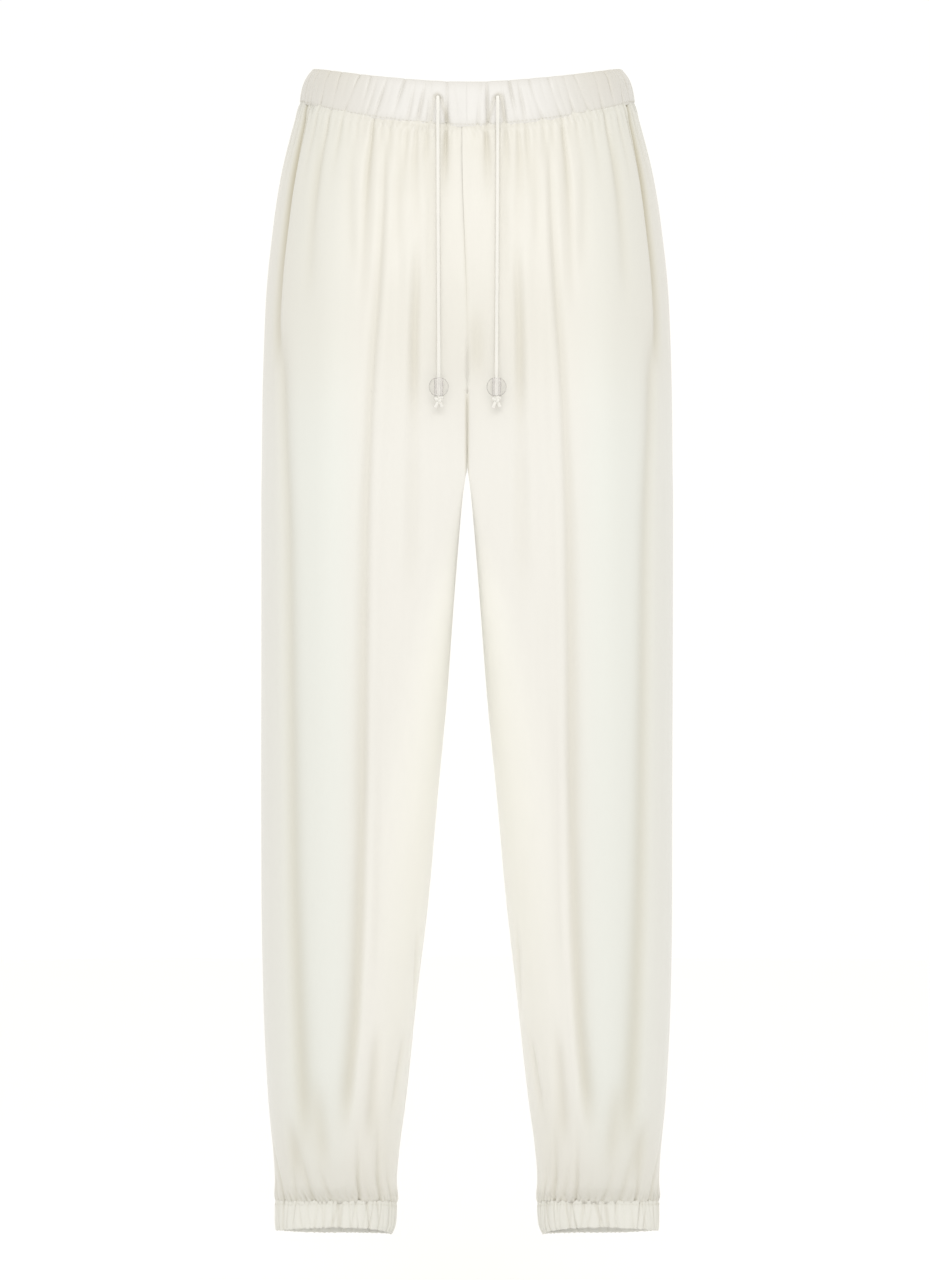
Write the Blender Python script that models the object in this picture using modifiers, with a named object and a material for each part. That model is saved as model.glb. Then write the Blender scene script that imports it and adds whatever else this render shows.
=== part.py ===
"""Pull-on trousers of fluid satin, hollow and filled out as they are worn, with gathered elastic
at the waist and the ankles and a bead on each end of the drawstring.

Each half of the garment is one outer form, worked out from a table of level sections. A point of it
is given by drop, from 0 at the waist seam to 1 at the cuff seam, and by around, from 0 at the centre
front or inseam, through 1 at the side seam, to 2 at the centre back or inseam. Folds and gathers move
that form in and out, and each cut piece is a wall laid on its own stretch of it.

The tables give millimetres, and everything is built in metres, +Z up, with the origin at the centre of
the waist. The front faces -Y, and left and right are the wearer's, so left is +X.
"""

import math

import bmesh
import bpy
import numpy as np

GARMENT = "gathered_trousers"
MM = 0.001

# Driving sizes
SEAM_GAP = 0.3 * MM
PANEL_WALL = 1.6 * MM
BAND_WALL = 3.0 * MM
CUFF_WALL = 2.6 * MM
BAND_PUFF = 1.5 * MM
CUFF_PUFF = 0.8 * MM
CORD_THICK = 2.8 * MM
BEAD_WIDE = 17.0 * MM
BEAD_TALL = 15.4 * MM
BEAD_HOLE = 5.0 * MM
BEAD_RINGS = 9
BEAD_SIDES = 16
KNOT_WIDE = 7.4 * MM
KNOT_DEEP = 6.3 * MM
KNOT_TALL = 6.2 * MM
TAIL_LONG = 4.5 * MM
TAIL_INSIDE = 1.35 * MM
TAIL_LEANS = (("in", -0.5), ("out", 0.45))

# Heights of the garment's edges and seams at the centre front, the side and the centre back
BAND_TOP = (-6.3, 15.0, 12.0)
WAIST_SEAM = (-46.7, -15.0, -24.0)
CUFF_SEAM = (-980.6, -984.2, -989.5)
CUFF_HEM = (-1005.8, -1012.5, -1019.0)
CUFF_SEAM_INNER = -986.0
CUFF_HEM_INNER = -1016.0
EDGE_SWEEP = 1.8

# Level sections of one half. outer and inner are distances from the middle of the garment to the side
# seam and to the inseam. front and back are how far the form stands out at its fullest, at front_peak
# and back_peak from the middle. side_seam and inseam are where those seams lie, front to back. corner
# is how much of the inner half of the section is rounded, from a tight corner to a full quarter oval.
SECTION_COLUMNS = ("height", "outer", "inner", "front", "back", "front_peak", "back_peak",
                   "side_seam", "inseam", "corner")
SECTIONS = (
    (20, 143.5, 0, 96, 104, 24, 30, 0, 15, 0.16),
    (-15, 147.6, 0, 98, 107, 24, 32, 0, 15, 0.16),
    (-40, 155.7, 0, 101, 112, 26, 36, 1, 15, 0.16),
    (-80, 165.2, 0, 109, 121, 30, 44, 2, 15, 0.16),
    (-120, 171.4, 0, 116, 129, 36, 52, 3, 15, 0.16),
    (-190, 178.4, 0, 121, 135, 52, 66, 4, 15, 0.12),
    (-285, 181.4, 0, 120, 129, 80, 84, 4, 15, 0.12),
    (-338, 181.9, 0.2, 116, 121, 88, 90, 3, 8, 0.18),
    (-365, 182.3, 3.5, 114, 116, 92, 94, 2, 5, 0.26),
    (-450, 182.2, 11.1, 107, 105, 97, 98, 1, 2, 0.45),
    (-540, 182.0, 18.0, 101, 96, 100, 101, 0, 0, 0.65),
    (-630, 181.9, 26.6, 94, 89, 104, 104, 0, 0, 0.85),
    (-720, 181.7, 34.6, 87, 84, 108, 108, 0, 0, 1),
    (-805, 180.1, 44.5, 79, 80, 112, 112, 0, 0, 1),
    (-895, 175.7, 54.3, 67, 73, 115, 115, 2, 2, 1),
    (-940, 171.8, 60.0, 56, 64, 116, 116, 4, 4, 1),
    (-966, 170.4, 62.2, 43, 55, 116, 116, 6, 6, 1),
    (-984, 169.6, 62.6, 27, 43, 116, 116, 8, 8, 1),
    (-1025, 169.6, 66.5, 24, 44, 118, 118, 10, 10, 1),
)
OUTER_SQUARE = 0.025
# How far the cloth between the front or back peak and the inner corner falls back from the peak
BOW = 7 * MM

# The crotch seam leaves the level of the belly and of the seat, and turns under to one low point
CROTCH = -285 * MM
SEAM_TURNS_FRONT = -205 * MM
SEAM_TURNS_BACK = -150 * MM
TURN_POWER = 4.0
TURN_ROUND = 26 * MM
# Rows run evenly down the seams, and across the turned-under stretch they are this much closer
TURN_CLOSER = 0.35
CROTCH_DROP = 0.32

# The centre-front seam is lapped like a fly: its edge stands to the wearer's right of the middle
LAP_OFFSET = 4.3 * MM
LAP_RAISE = 0.8 * MM
LAP_WIDE = 9 * MM
LAP_FULL = -60 * MM
LAP_ENDS = -225 * MM
LAP_REACH = 30 * MM

# Waist gathers of one half, front and back. band_foot and band_head are distances from the centre along
# the foot and the head of the band. band_deep and panel_deep are how far they draw the cloth in, and
# run is how far they reach down the panel.
WAIST_COLUMNS = ("band_foot", "band_head", "band_deep", "panel_deep", "run")
FRONT_WAIST_GATHERS = (
    (8, 11.5, 0.9, 0.8, 22),
    (17.2, 17.6, 2.8, 2.8, 36),
    (31, 30, 1.7, 2.0, 38),
    (39, 35, 1.9, 1.3, 28),
    (46, 43, 1.5, 1.7, 44),
    (58, 51, 1.6, 1.1, 28),
    (72, 66, 1.5, 2.9, 64),
    (84, 80, 1.8, 1.0, 26),
    (98, 90, 1.9, 1.5, 36),
    (112, 110, 1.5, 2.6, 64),
    (128, 126, 1.9, 1.5, 42),
    (145, 145, 1.7, 2.8, 72),
    (161, 160, 2.0, 2.0, 48),
    (178, 179, 1.6, 1.8, 42),
    (192, 192, 1.4, 1.8, 36),
)
BACK_WAIST_GATHERS = (
    (7, 7, 2.2, 2.2, 23),
    (24, 22, 2.1, 2.1, 29),
    (32, 32, 1.2, 1.2, 46),
    (49, 51, 2.6, 2.6, 53),
    (62, 61, 1.5, 1.5, 41),
    (72, 70, 1.7, 1.7, 26),
    (90, 91, 2.5, 2.5, 25),
    (99, 100, 1.1, 1.1, 41),
    (113, 111, 2.4, 2.4, 53),
    (129, 128, 2.0, 2.0, 46),
    (138, 140, 1.3, 1.3, 30),
    (155, 155, 2.7, 2.7, 23),
    (166, 164, 1.4, 1.4, 35),
    (178, 178, 1.9, 1.9, 51),
)

# Gathers of one half leg at the cuff, front and back. around is the share of the panel's width from
# the inseam, lean is how far that share changes up the leg, deep and run are as at the waist.
CUFF_COLUMNS = ("around", "lean", "deep", "run")
FRONT_CUFF_GATHERS = (
    (0.05, 0.02, 1.2, 24),
    (0.135, 0.05, 1.6, 30),
    (0.235, 0.03, 2.4, 58),
    (0.31, 0.02, 1.2, 26),
    (0.37, 0.01, 2.8, 52),
    (0.445, 0.0, 1.0, 18),
    (0.51, 0.01, 1.6, 22),
    (0.59, 0.06, 2.0, 40),
    (0.70, 0.02, 2.2, 34),
    (0.82, 0.09, 2.4, 46),
    (0.93, 0.03, 1.5, 28),
)
BACK_CUFF_GATHERS = (
    (0.07, 0.02, 1.4, 28),
    (0.16, 0.04, 1.9, 44),
    (0.27, 0.02, 1.3, 24),
    (0.35, 0.03, 2.6, 56),
    (0.46, 0.01, 1.2, 22),
    (0.55, -0.02, 2.1, 48),
    (0.64, 0.0, 1.3, 22),
    (0.73, 0.04, 2.5, 52),
    (0.85, 0.05, 1.6, 32),
    (0.94, 0.02, 1.3, 24),
)

# Long soft folds of one half. across_top and across_foot are distances from the middle of the garment,
# top and foot are heights, out is how far the ridge stands out or the trough goes in.
FOLD_COLUMNS = ("across_top", "across_foot", "top", "foot", "out", "half_width")
FRONT_FOLDS = (
    (42, 46, -130, -480, -5.0, 10),
    (66, 78, -150, -640, 2.2, 13),
    (84, 101, -260, -960, -4.2, 12),
    (116, 122, -120, -950, 3.4, 19),
    (146, 142, -30, -940, -5.2, 12),
)
BACK_FOLDS = (
    (36, 48, -230, -560, -4.6, 12),
    (64, 84, -300, -820, 2.6, 16),
    (88, 106, -210, -950, -4.6, 13),
    (118, 126, -70, -640, 3.2, 19),
    (148, 146, -40, -900, -4.6, 14),
)
FOLD_FADE = 60 * MM

# Fine elastic gathers round each cuff, deeper and shallower by turns
CUFF_RIBS = 50
RIB_DEEP = 0.9 * MM
RIB_UNEVEN = 0.25
RIB_TURNS = 7

GATHER_HALF_WIDTH = 3.2 * MM
CUFF_GATHER_HALF_WIDTH = 4.0 * MM

# Rows of a panel, as distances down from the waist seam or up from the cuff seam, and as shares of
# the way down around the crotch
WAIST_ROWS = (0, 7, 20, 42, 76)
MIDDLE_ROWS = 11
CROTCH_ROWS = (0.215, 0.248, 0.272, 0.29, 0.305, 0.345)
CUFF_ROWS = (78, 46, 24, 9, 0)
ROWS_APART = 0.02
# Rows of the band and of a cuff, as shares of the way across it
BAND_ROWS = (0, 0.14, 0.5, 0.86, 1)
CUFF_BAND_ROWS = (0, 0.2, 0.8, 1)
# Columns stand on the folds and gathers, with more between them where they are far apart
COLUMNS_APART = 0.018
MIDDLE_COLUMN = 20 * MM
WIDE_SPAN = 6 * MM
# Rows bend to a seam's curve within this share of the way down from the waist, and up from the cuff
WAIST_BEND = 0.2
CUFF_BEND = 0.1

# The fine grid on which the form is worked out
GRID_DROPS = 560
GRID_AROUND = 441
BAND_GRID = 41
SEAM_GRID = 2000
SHARP_ANGLE = 30

# The ends of the drawstring: where each leaves the band, and where its bead hangs
CORD_COLUMNS = ("side", "leaves_x", "bead_x")
CORD_ENDS = (("left", 26.4, 25.2), ("right", -25.2, -24.3))
CORD_LEAVES_Z = -20 * MM
BEAD_Z = -271.6 * MM
EYELET_WIDE = 4.6 * MM
EYELET_DEEP = 2.4 * MM
# Route of a cord end: distance below its eyelet, and distance in front of the band there
ROUTE_COLUMNS = ("below", "before")
CORD_ROUTE = (
    (0.0, -1.7), (0.0, 0.0), (0.3, 2.2), (1.9, 4.6), (4.8, 6.2), (10, 6.8), (20, 7.0), (35, 7.4),
    (55, 10.2), (80, 15.2), (95, 17.6), (110, 19.3), (140, 21.8), (170, 22.8), (200, 23.4),
    (222, 24.8), (240, 26.3), (248, 26.6), (258.7, 26.6),
)
CORD_POINTS = 36

# Linear colours of the satin on each kind of piece, and of the beads
SATIN_COLOURS = (
    ("front", (0.86, 0.85, 0.78)),
    ("back", (0.84, 0.83, 0.76)),
    ("band", (0.83, 0.82, 0.75)),
    ("cuff", (0.81, 0.79, 0.71)),
    ("cord", (0.88, 0.86, 0.80)),
)
SATIN_ROUGHNESS = 0.42
BEAD_COLOUR = (0.83, 0.81, 0.79)
BEAD_ROUGHNESS = 0.05
BEAD_ALPHA = 0.35


def table(rows, columns):
    """The rows of a table as one array for each named column."""
    return {name: np.array([row[i] for row in rows], dtype=float) for i, name in enumerate(columns)}


def smooth_curve(places, values, at):
    """A smooth curve through the values, which doesn't overshoot them, read at the places asked for."""
    steps = np.diff(places)
    rises = np.diff(values) / steps
    slopes = np.zeros(len(values))
    same_way = rises[:-1] * rises[1:] > 0
    means = 2 * rises[:-1] * rises[1:] / np.where(same_way, rises[:-1] + rises[1:], 1)
    slopes[1:-1] = np.where(same_way, means, 0)
    slopes[0] = rises[0]
    slopes[-1] = rises[-1]
    at = np.clip(at, places[0], places[-1])
    span = np.clip(np.searchsorted(places, at) - 1, 0, len(places) - 2)
    step = steps[span]
    t = (at - places[span]) / step
    start = (1 + 2 * t) * (1 - t) ** 2 * values[span] + t * (1 - t) ** 2 * step * slopes[span]
    end = t * t * (3 - 2 * t) * values[span + 1] + t * t * (t - 1) * step * slopes[span + 1]
    return start + end


SECTION = {name: values[::-1] * MM for name, values in table(SECTIONS, SECTION_COLUMNS).items()}
SECTION["corner"] /= MM


def section(name, height):
    """One column of the section table at a height."""
    return smooth_curve(SECTION["height"], SECTION[name], height)


def ease(t):
    """0 below 0, 1 above 1, and smooth between."""
    t = np.clip(t, 0, 1)
    return t * t * (3 - 2 * t)


def edge_height(edge, around, inner=None):
    """The height of an edge given at its front, side and back. inner is its height at the inseam."""
    front, side, back = (value * MM for value in edge)
    turn = np.where(around <= 1, around, 2 - around)
    end = np.where(around <= 1, front, back)
    if inner is None:
        return side + (end - side) * np.cos(turn * math.pi / 2) ** EDGE_SWEEP
    round_leg = np.sin(turn * math.pi) ** 2
    straight = side + (inner * MM - side) * (0.5 + 0.5 * np.cos(turn * math.pi))
    return straight + (end - straight) * round_leg


def lap_offset(height):
    """How far the lapped centre-front seam stands from the middle at a height."""
    return LAP_OFFSET * ease((height - LAP_ENDS) / (LAP_FULL - LAP_ENDS))


def seam_turn(height, turns):
    """How far the centre seam has turned under towards the crotch: 0 above, 1 at the crotch."""
    share = np.clip((turns - height) / (turns - CROTCH), 0, 1)
    return 1 - (1 - share ** TURN_POWER) ** (1 / TURN_POWER)


def arc(wide, deep):
    """The length of a quarter of an ellipse, near enough."""
    return math.pi / 2 * np.sqrt((wide ** 2 + deep ** 2) / 2)


def half_section(height, is_front):
    """The sizes of the front or back half of a section, which the outer form is drawn with."""
    way = -1 if is_front else 1
    full = section("front" if is_front else "back", height)
    turn = seam_turn(height, SEAM_TURNS_FRONT if is_front else SEAM_TURNS_BACK)
    under = turn * (full - way * section("inseam", height))
    rounded = ease(under / TURN_ROUND)
    corner = section("corner", height)
    peak_x = section("front_peak" if is_front else "back_peak", height)
    inner_wide = peak_x - section("inner", height)
    corner_x = corner * inner_wide
    corner_y = under * (1 - (1 - corner) * rounded)
    outer_wide = section("outer", height) - peak_x
    side_deep = full - way * section("side_seam", height)
    return {"way": way + 0 * height, "peak_x": peak_x, "peak_y": way * full, "under": under,
            "rounded": rounded, "corner_x": corner_x, "corner_y": corner_y,
            "wall_long": under - corner_y, "corner_long": arc(corner_x, corner_y) * rounded
            + corner_x * (1 - rounded), "flat_long": inner_wide - corner_x,
            "inner_wide": inner_wide, "outer_wide": outer_wide, "outer_long": arc(outer_wide, side_deep)}


def around_sizes(height, around):
    """The sizes of whichever half of the section each point is on."""
    front = half_section(height, True)
    back = half_section(height, False)
    return {name: np.where(around <= 1, front[name], back[name]) for name in front}


def outer_form(height, around, lap=0.0):
    """Points of the outer form of the half at +X. lap moves the centre-front end past the middle."""
    share = np.where(around <= 1, around, 2 - around)
    size = around_sizes(height, around)
    long = size["wall_long"] + size["corner_long"] + size["flat_long"] + size["outer_long"]
    gone = share * long
    inner_x = section("inner", height)
    inner_y = size["peak_y"] - size["way"] * size["under"]

    turned = np.clip((gone - size["wall_long"]) / size["corner_long"], 0, 1)
    angle = turned * math.pi / 2
    across = (1 - size["rounded"]) * turned + size["rounded"] * (1 - np.cos(angle))
    corner_x = inner_x + size["corner_x"] * across
    wall_y = inner_y + size["way"] * np.clip(gone, 0, size["wall_long"])
    corner_y = wall_y + size["way"] * size["corner_y"] * np.sin(angle)
    flat = np.clip(gone - size["wall_long"] - size["corner_long"], 0, size["flat_long"])
    past = np.clip((gone - long + size["outer_long"]) / size["outer_long"], 0, 1)
    bend = past * math.pi / 2
    squarer = OUTER_SQUARE * np.sin(2 * bend) ** 2
    side_y = section("side_seam", height)
    x = corner_x + flat + size["outer_wide"] * (np.sin(bend) + squarer)
    y_round = side_y + (size["peak_y"] - side_y) * (np.cos(bend) + squarer)
    y = np.where(past > 0, y_round, corner_y)
    from_peak = np.clip((size["peak_x"] - x) / size["inner_wide"], 0, 1)
    y -= size["way"] * BOW * size["rounded"] * from_peak ** 2 * np.sin(angle)
    x -= np.where(around <= 1, lap * lap_offset(height) * ease(1 - x / LAP_REACH), 0)
    return np.stack([x, y, height + 0 * x], axis=-1), long


def seam_heights(drops, is_front):
    """Heights of the inner edge of a panel: down the centre seam to the crotch, then down the inseam."""
    top = (WAIST_SEAM[0] if is_front else WAIST_SEAM[2]) * MM
    fine = CROTCH + (top - CROTCH) * (1 - np.sin(np.linspace(0, math.pi / 2, SEAM_GRID)))
    sizes = half_section(fine, is_front)
    depth = sizes["peak_y"] - sizes["way"] * sizes["under"]
    steps = np.hypot(np.diff(fine), TURN_CLOSER * np.diff(depth))
    length = np.concatenate([[0], np.cumsum(steps)])
    centre = np.interp(drops / CROTCH_DROP, length / length[-1], fine)
    legs = CROTCH + (CUFF_SEAM_INNER * MM - CROTCH) * (drops - CROTCH_DROP) / (1 - CROTCH_DROP)
    return np.where(drops < CROTCH_DROP, centre, legs)


def panel_heights(drops, arounds):
    """Height of every point of the panels' grid. Rows start and end on the two seams."""
    drop, around = np.meshgrid(drops, arounds, indexing="ij")
    side_top = WAIST_SEAM[1] * MM
    side = side_top + (CUFF_SEAM[1] * MM - side_top) * drop
    front_seam = seam_heights(drops, True)[:, None]
    back_seam = seam_heights(drops, False)[:, None]
    seam = np.where(around <= 1, front_seam, back_seam)
    turn = np.where(around <= 1, around, 2 - around)
    pull = (1 - turn) ** 2
    level = side + (seam - side) * pull
    waist = edge_height(WAIST_SEAM, around) - level[:1]
    cuff = edge_height(CUFF_SEAM, around, CUFF_SEAM_INNER) - level[-1:]
    return level + waist * ease(1 - drop / WAIST_BEND) + cuff * ease(1 - (1 - drop) / CUFF_BEND)


def normals_of(points, closed_from=None):
    """Outward normals of a grid of points. Rows from closed_from on are closed loops."""
    down = np.gradient(points, axis=0)
    around = np.gradient(points, axis=1)
    if closed_from is not None:
        joined = points[closed_from:, 1] - points[closed_from:, -2]
        around[closed_from:, 0] = joined
        around[closed_from:, -1] = joined
    normals = np.cross(down, around)
    return normals / np.linalg.norm(normals, axis=-1, keepdims=True)


def levelled(normals):
    """Normals turned level, so that what is moved along them keeps its height."""
    level = normals * np.array([1, 1, 0])
    return level / np.linalg.norm(level, axis=-1, keepdims=True)


def read_grid(grid, drop, around):
    """The grid's value between its points. drop runs from 0 to 1 and around from 0 to 2."""
    row = np.clip(drop, 0, 1) * (grid.shape[0] - 1)
    column = np.clip(around / 2, 0, 1) * (grid.shape[1] - 1)
    i = np.minimum(row.astype(int), grid.shape[0] - 2)
    j = np.minimum(column.astype(int), grid.shape[1] - 2)
    a = (row - i)[..., None]
    b = (column - j)[..., None]
    upper = grid[i, j] * (1 - b) + grid[i, j + 1] * b
    lower = grid[i + 1, j] * (1 - b) + grid[i + 1, j + 1] * b
    return upper * (1 - a) + lower * a


def dent(distance, half_width):
    """The profile of a fold or gather across it: 1 at its middle, fading to 0."""
    return np.exp(-(distance / half_width) ** 2)


def waist_gathers():
    """Every waist gather of one half, front and back, with its places as shares of the way around."""
    width = outer_form(np.array(WAIST_SEAM[1] * MM), np.array(0.5))[1]
    gathers = []
    for rows, is_front in ((FRONT_WAIST_GATHERS, True), (BACK_WAIST_GATHERS, False)):
        for row in rows:
            gather = {name: value * MM for name, value in zip(WAIST_COLUMNS, row)}
            foot = gather["band_foot"] / width
            head = gather["band_head"] / width
            gathers.append({**gather, "foot": foot if is_front else 2 - foot,
                            "head": head if is_front else 2 - head})
    return gathers


def cuff_gathers():
    """Every gather of one leg at its cuff, front and back, with its place around the leg."""
    gathers = []
    for rows, is_front in ((FRONT_CUFF_GATHERS, True), (BACK_CUFF_GATHERS, False)):
        for row in rows:
            gather = dict(zip(CUFF_COLUMNS, row))
            gathers.append({"around": gather["around"] if is_front else 2 - gather["around"],
                            "lean": gather["lean"] if is_front else -gather["lean"],
                            "deep": gather["deep"] * MM, "run": gather["run"] * MM})
    return sorted(gathers, key=lambda gather: gather["around"])


def long_folds():
    """Every long fold of one half, front and back."""
    folds = []
    for rows, is_front in ((FRONT_FOLDS, True), (BACK_FOLDS, False)):
        for row in rows:
            fold = {name: value * MM for name, value in zip(FOLD_COLUMNS, row)}
            folds.append({**fold, "is_front": is_front})
    return folds


def fold_places(fold, plain, arounds):
    """Where a long fold lies around each row of a grid, from its distance across."""
    half = arounds <= 1 if fold["is_front"] else arounds >= 1
    order = 1 if fold["is_front"] else -1
    places = []
    for row in plain[:, half]:
        depth = -row[len(row) // 2, 2]
        ends = [fold["across_top"], fold["across_foot"]]
        across = np.interp(depth, [-fold["top"], -fold["foot"]], ends)
        places.append(np.interp(across, row[::order, 0], arounds[half][::order]))
    return np.array(places)


def panel_relief(places, around, height, width):
    """How far the folds and gathers move each point of the panels out."""
    relief = np.zeros_like(around)
    for fold, place in zip(long_folds(), places):
        distance = (around - place[:, None]) * width
        fades = ease((fold["top"] - height) / FOLD_FADE) * ease((height - fold["foot"]) / FOLD_FADE)
        relief += fold["out"] * fades * dent(distance, fold["half_width"])
    below = edge_height(WAIST_SEAM, around) - height
    for gather in waist_gathers():
        distance = (around - gather["foot"]) * width
        spread = GATHER_HALF_WIDTH * (1 + below / gather["run"])
        relief -= gather["panel_deep"] * dent(below, gather["run"]) * dent(distance, spread)
    above = height - edge_height(CUFF_SEAM, around, CUFF_SEAM_INNER)
    for gather in cuff_gathers():
        place = gather["around"] + gather["lean"] * above / gather["run"]
        distance = (around - place) * width
        spread = CUFF_GATHER_HALF_WIDTH * (1 + above / gather["run"])
        relief -= gather["deep"] * dent(above, gather["run"]) * dent(distance, spread)
    return relief


def panel_grids(lap):
    """The outer and inner faces of the panels of one half. lap is 1 where the fly edge laps over."""
    drops = np.linspace(0, 1, GRID_DROPS)
    arounds = np.linspace(0, 2, GRID_AROUND)
    height = panel_heights(drops, arounds)
    around = np.meshgrid(drops, arounds, indexing="ij")[1]
    plain, width = outer_form(height, around, lap)
    closed_from = int(math.ceil(CROTCH_DROP * (GRID_DROPS - 1))) + 1
    folds = [fold_places(fold, plain, arounds) for fold in long_folds()]
    sizes = around_sizes(height, around)
    corner = (sizes["wall_long"] + np.stack([0 * width, sizes["corner_long"]])) / width
    relief = panel_relief(folds, around, height, width)
    if lap > 0:
        raised = ease(1 - around * width / LAP_WIDE) * lap_offset(height) / LAP_OFFSET
        relief += LAP_RAISE * np.where(around <= 1, raised, 0)
    outer = plain + levelled(normals_of(plain, closed_from)) * relief[..., None]
    inner = outer - normals_of(outer, closed_from) * PANEL_WALL
    return {"outer": outer, "inner": inner, "width": width, "folds": folds, "corner": corner}


def band_grids():
    """The outer and inner faces of one half of the waistband, with drop 0 at its foot."""
    shares = np.linspace(0, 1, BAND_GRID)
    arounds = np.linspace(0, 2, GRID_AROUND)
    share, around = np.meshgrid(shares, arounds, indexing="ij")
    foot = edge_height(WAIST_SEAM, around) + SEAM_GAP / 2
    top = edge_height(BAND_TOP, around)
    plain, width = outer_form(foot + (top - foot) * share, around)
    relief = BAND_PUFF * (1 - (2 * share - 1) ** 4) + 0 * around
    for gather in waist_gathers():
        place = gather["foot"] + (gather["head"] - gather["foot"]) * share
        relief -= gather["band_deep"] * dent((around - place) * width, GATHER_HALF_WIDTH)
    outward = levelled(-normals_of(plain))
    return {"outer": plain + outward * relief[..., None], "inner": plain - outward * BAND_WALL}


def cuff_grids():
    """The outer and inner faces of one cuff, with drop 0 at its seam and 1 at its hem."""
    shares = np.linspace(0, 1, BAND_GRID)
    arounds = np.linspace(0, 2, 8 * CUFF_RIBS + 1)
    share, around = np.meshgrid(shares, arounds, indexing="ij")
    seam = edge_height(CUFF_SEAM, around, CUFF_SEAM_INNER) - SEAM_GAP
    hem = edge_height(CUFF_HEM, around, CUFF_HEM_INNER)
    plain, _ = outer_form(seam + (hem - seam) * share, around)
    outward = levelled(normals_of(plain, 0))
    puff = CUFF_PUFF * (1 - (2 * share - 1) ** 4)
    uneven = 1 + RIB_UNEVEN * np.sin(math.pi * RIB_TURNS * around)
    ribs = RIB_DEEP * (0.5 + 0.5 * np.cos(math.pi * CUFF_RIBS * around)) * uneven
    return {"outer": plain + outward * (puff - ribs)[..., None], "inner": plain - outward * CUFF_WALL}


def knots_between(knots, low, high):
    """The knots in order between the two ends of a piece, leaving out any that is close to an end."""
    inside = [knot for knot in knots if low + COLUMNS_APART < knot < high - COLUMNS_APART]
    return [low] + sorted(inside) + [high]


def spread_between(knots, counts):
    """The knots with each stretch between two of them cut into its count of equal parts."""
    parts = [np.linspace(a, b, n, endpoint=False) for a, b, n in zip(knots, knots[1:], counts)]
    return np.concatenate(parts + [[knots[-1]]])


def stitch(bm, row_a, row_b, places_a, places_b, flip):
    """Triangles between two rows of points that may differ in number, matched by their places."""
    i = 0
    j = 0
    while i < len(row_a) - 1 or j < len(row_b) - 1:
        step_a = places_a[i] + places_a[i + 1] if i < len(row_a) - 1 else math.inf
        step_b = places_b[j] + places_b[j + 1] if j < len(row_b) - 1 else math.inf
        if step_a <= step_b:
            corners = [row_a[i], row_b[j], row_a[i + 1]]
            i += 1
        else:
            corners = [row_a[i], row_b[j], row_b[j + 1]]
            j += 1
        if len(set(corners)) == 3:
            bm.faces.new(corners[::-1] if flip else corners)


def wall(name, outer_rows, inner_rows, closed, flip):
    """A closed wall. Each row is its place down the piece, its points' places around, and its points."""
    bm = bmesh.new()
    faces = []
    for rows in (outer_rows, inner_rows):
        made = []
        for down, places, points in rows:
            verts = [bm.verts.new(point) for point in points]
            if closed:
                verts.append(verts[0])
                places = np.append(places, places[0] + 2)
            made.append((down, places, verts))
        faces.append(made)
    for made, turned in zip(faces, (flip, not flip)):
        for upper, lower in zip(made, made[1:]):
            stitch(bm, upper[2], lower[2], upper[1], lower[1], turned)
    outer, inner = faces
    for end, turned in ((0, not flip), (-1, flip)):
        stitch(bm, outer[end][2], inner[end][2], outer[end][1], inner[end][1], turned)
    if not closed:
        downs = [np.array([row[0] for row in made]) for made in faces]
        for end, turned in ((0, flip), (-1, not flip)):
            edges = [[row[2][end] for row in made] for made in faces]
            stitch(bm, edges[0], edges[1], downs[0], downs[1], turned)
    mesh = bpy.data.meshes.new(name)
    bm.to_mesh(mesh)
    bm.free()
    mesh.shade_smooth()
    mesh.set_sharp_from_angle(angle=math.radians(SHARP_ANGLE))
    return bpy.data.objects.new(name, mesh)


def mirrored(points, side):
    """Points of the half at +X, moved to the half at side, which is 1 or -1."""
    return points * np.array([side, 1, 1])


def keep_to_half(points, lap):
    """Points held on their own side of the seam between the two halves."""
    points = points.copy()
    front = points[:, 1] < 0
    edge = SEAM_GAP / 2 - np.where(front, lap * lap_offset(points[:, 2]), 0)
    points[:, 0] = np.maximum(points[:, 0], edge)
    return points


def panel_row_drops():
    """The rows of a panel: close together under the band and over the cuff, and one at the crotch."""
    length = WAIST_SEAM[1] - CUFF_SEAM[1]
    top = [distance / length for distance in WAIST_ROWS]
    foot = [1 - distance / length for distance in CUFF_ROWS]
    middle = np.linspace(top[-1], foot[0], MIDDLE_ROWS + 2)[1:-1]
    clear = (middle < CROTCH_ROWS[0] - ROWS_APART) | (middle > CROTCH_ROWS[-1] + ROWS_APART)
    middle = sorted([*middle[clear], *CROTCH_ROWS, CROTCH_DROP])
    half_gap = SEAM_GAP / 2 / MM / length
    top[0] = half_gap
    foot[-1] = 1 - half_gap
    return top + middle + foot


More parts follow.
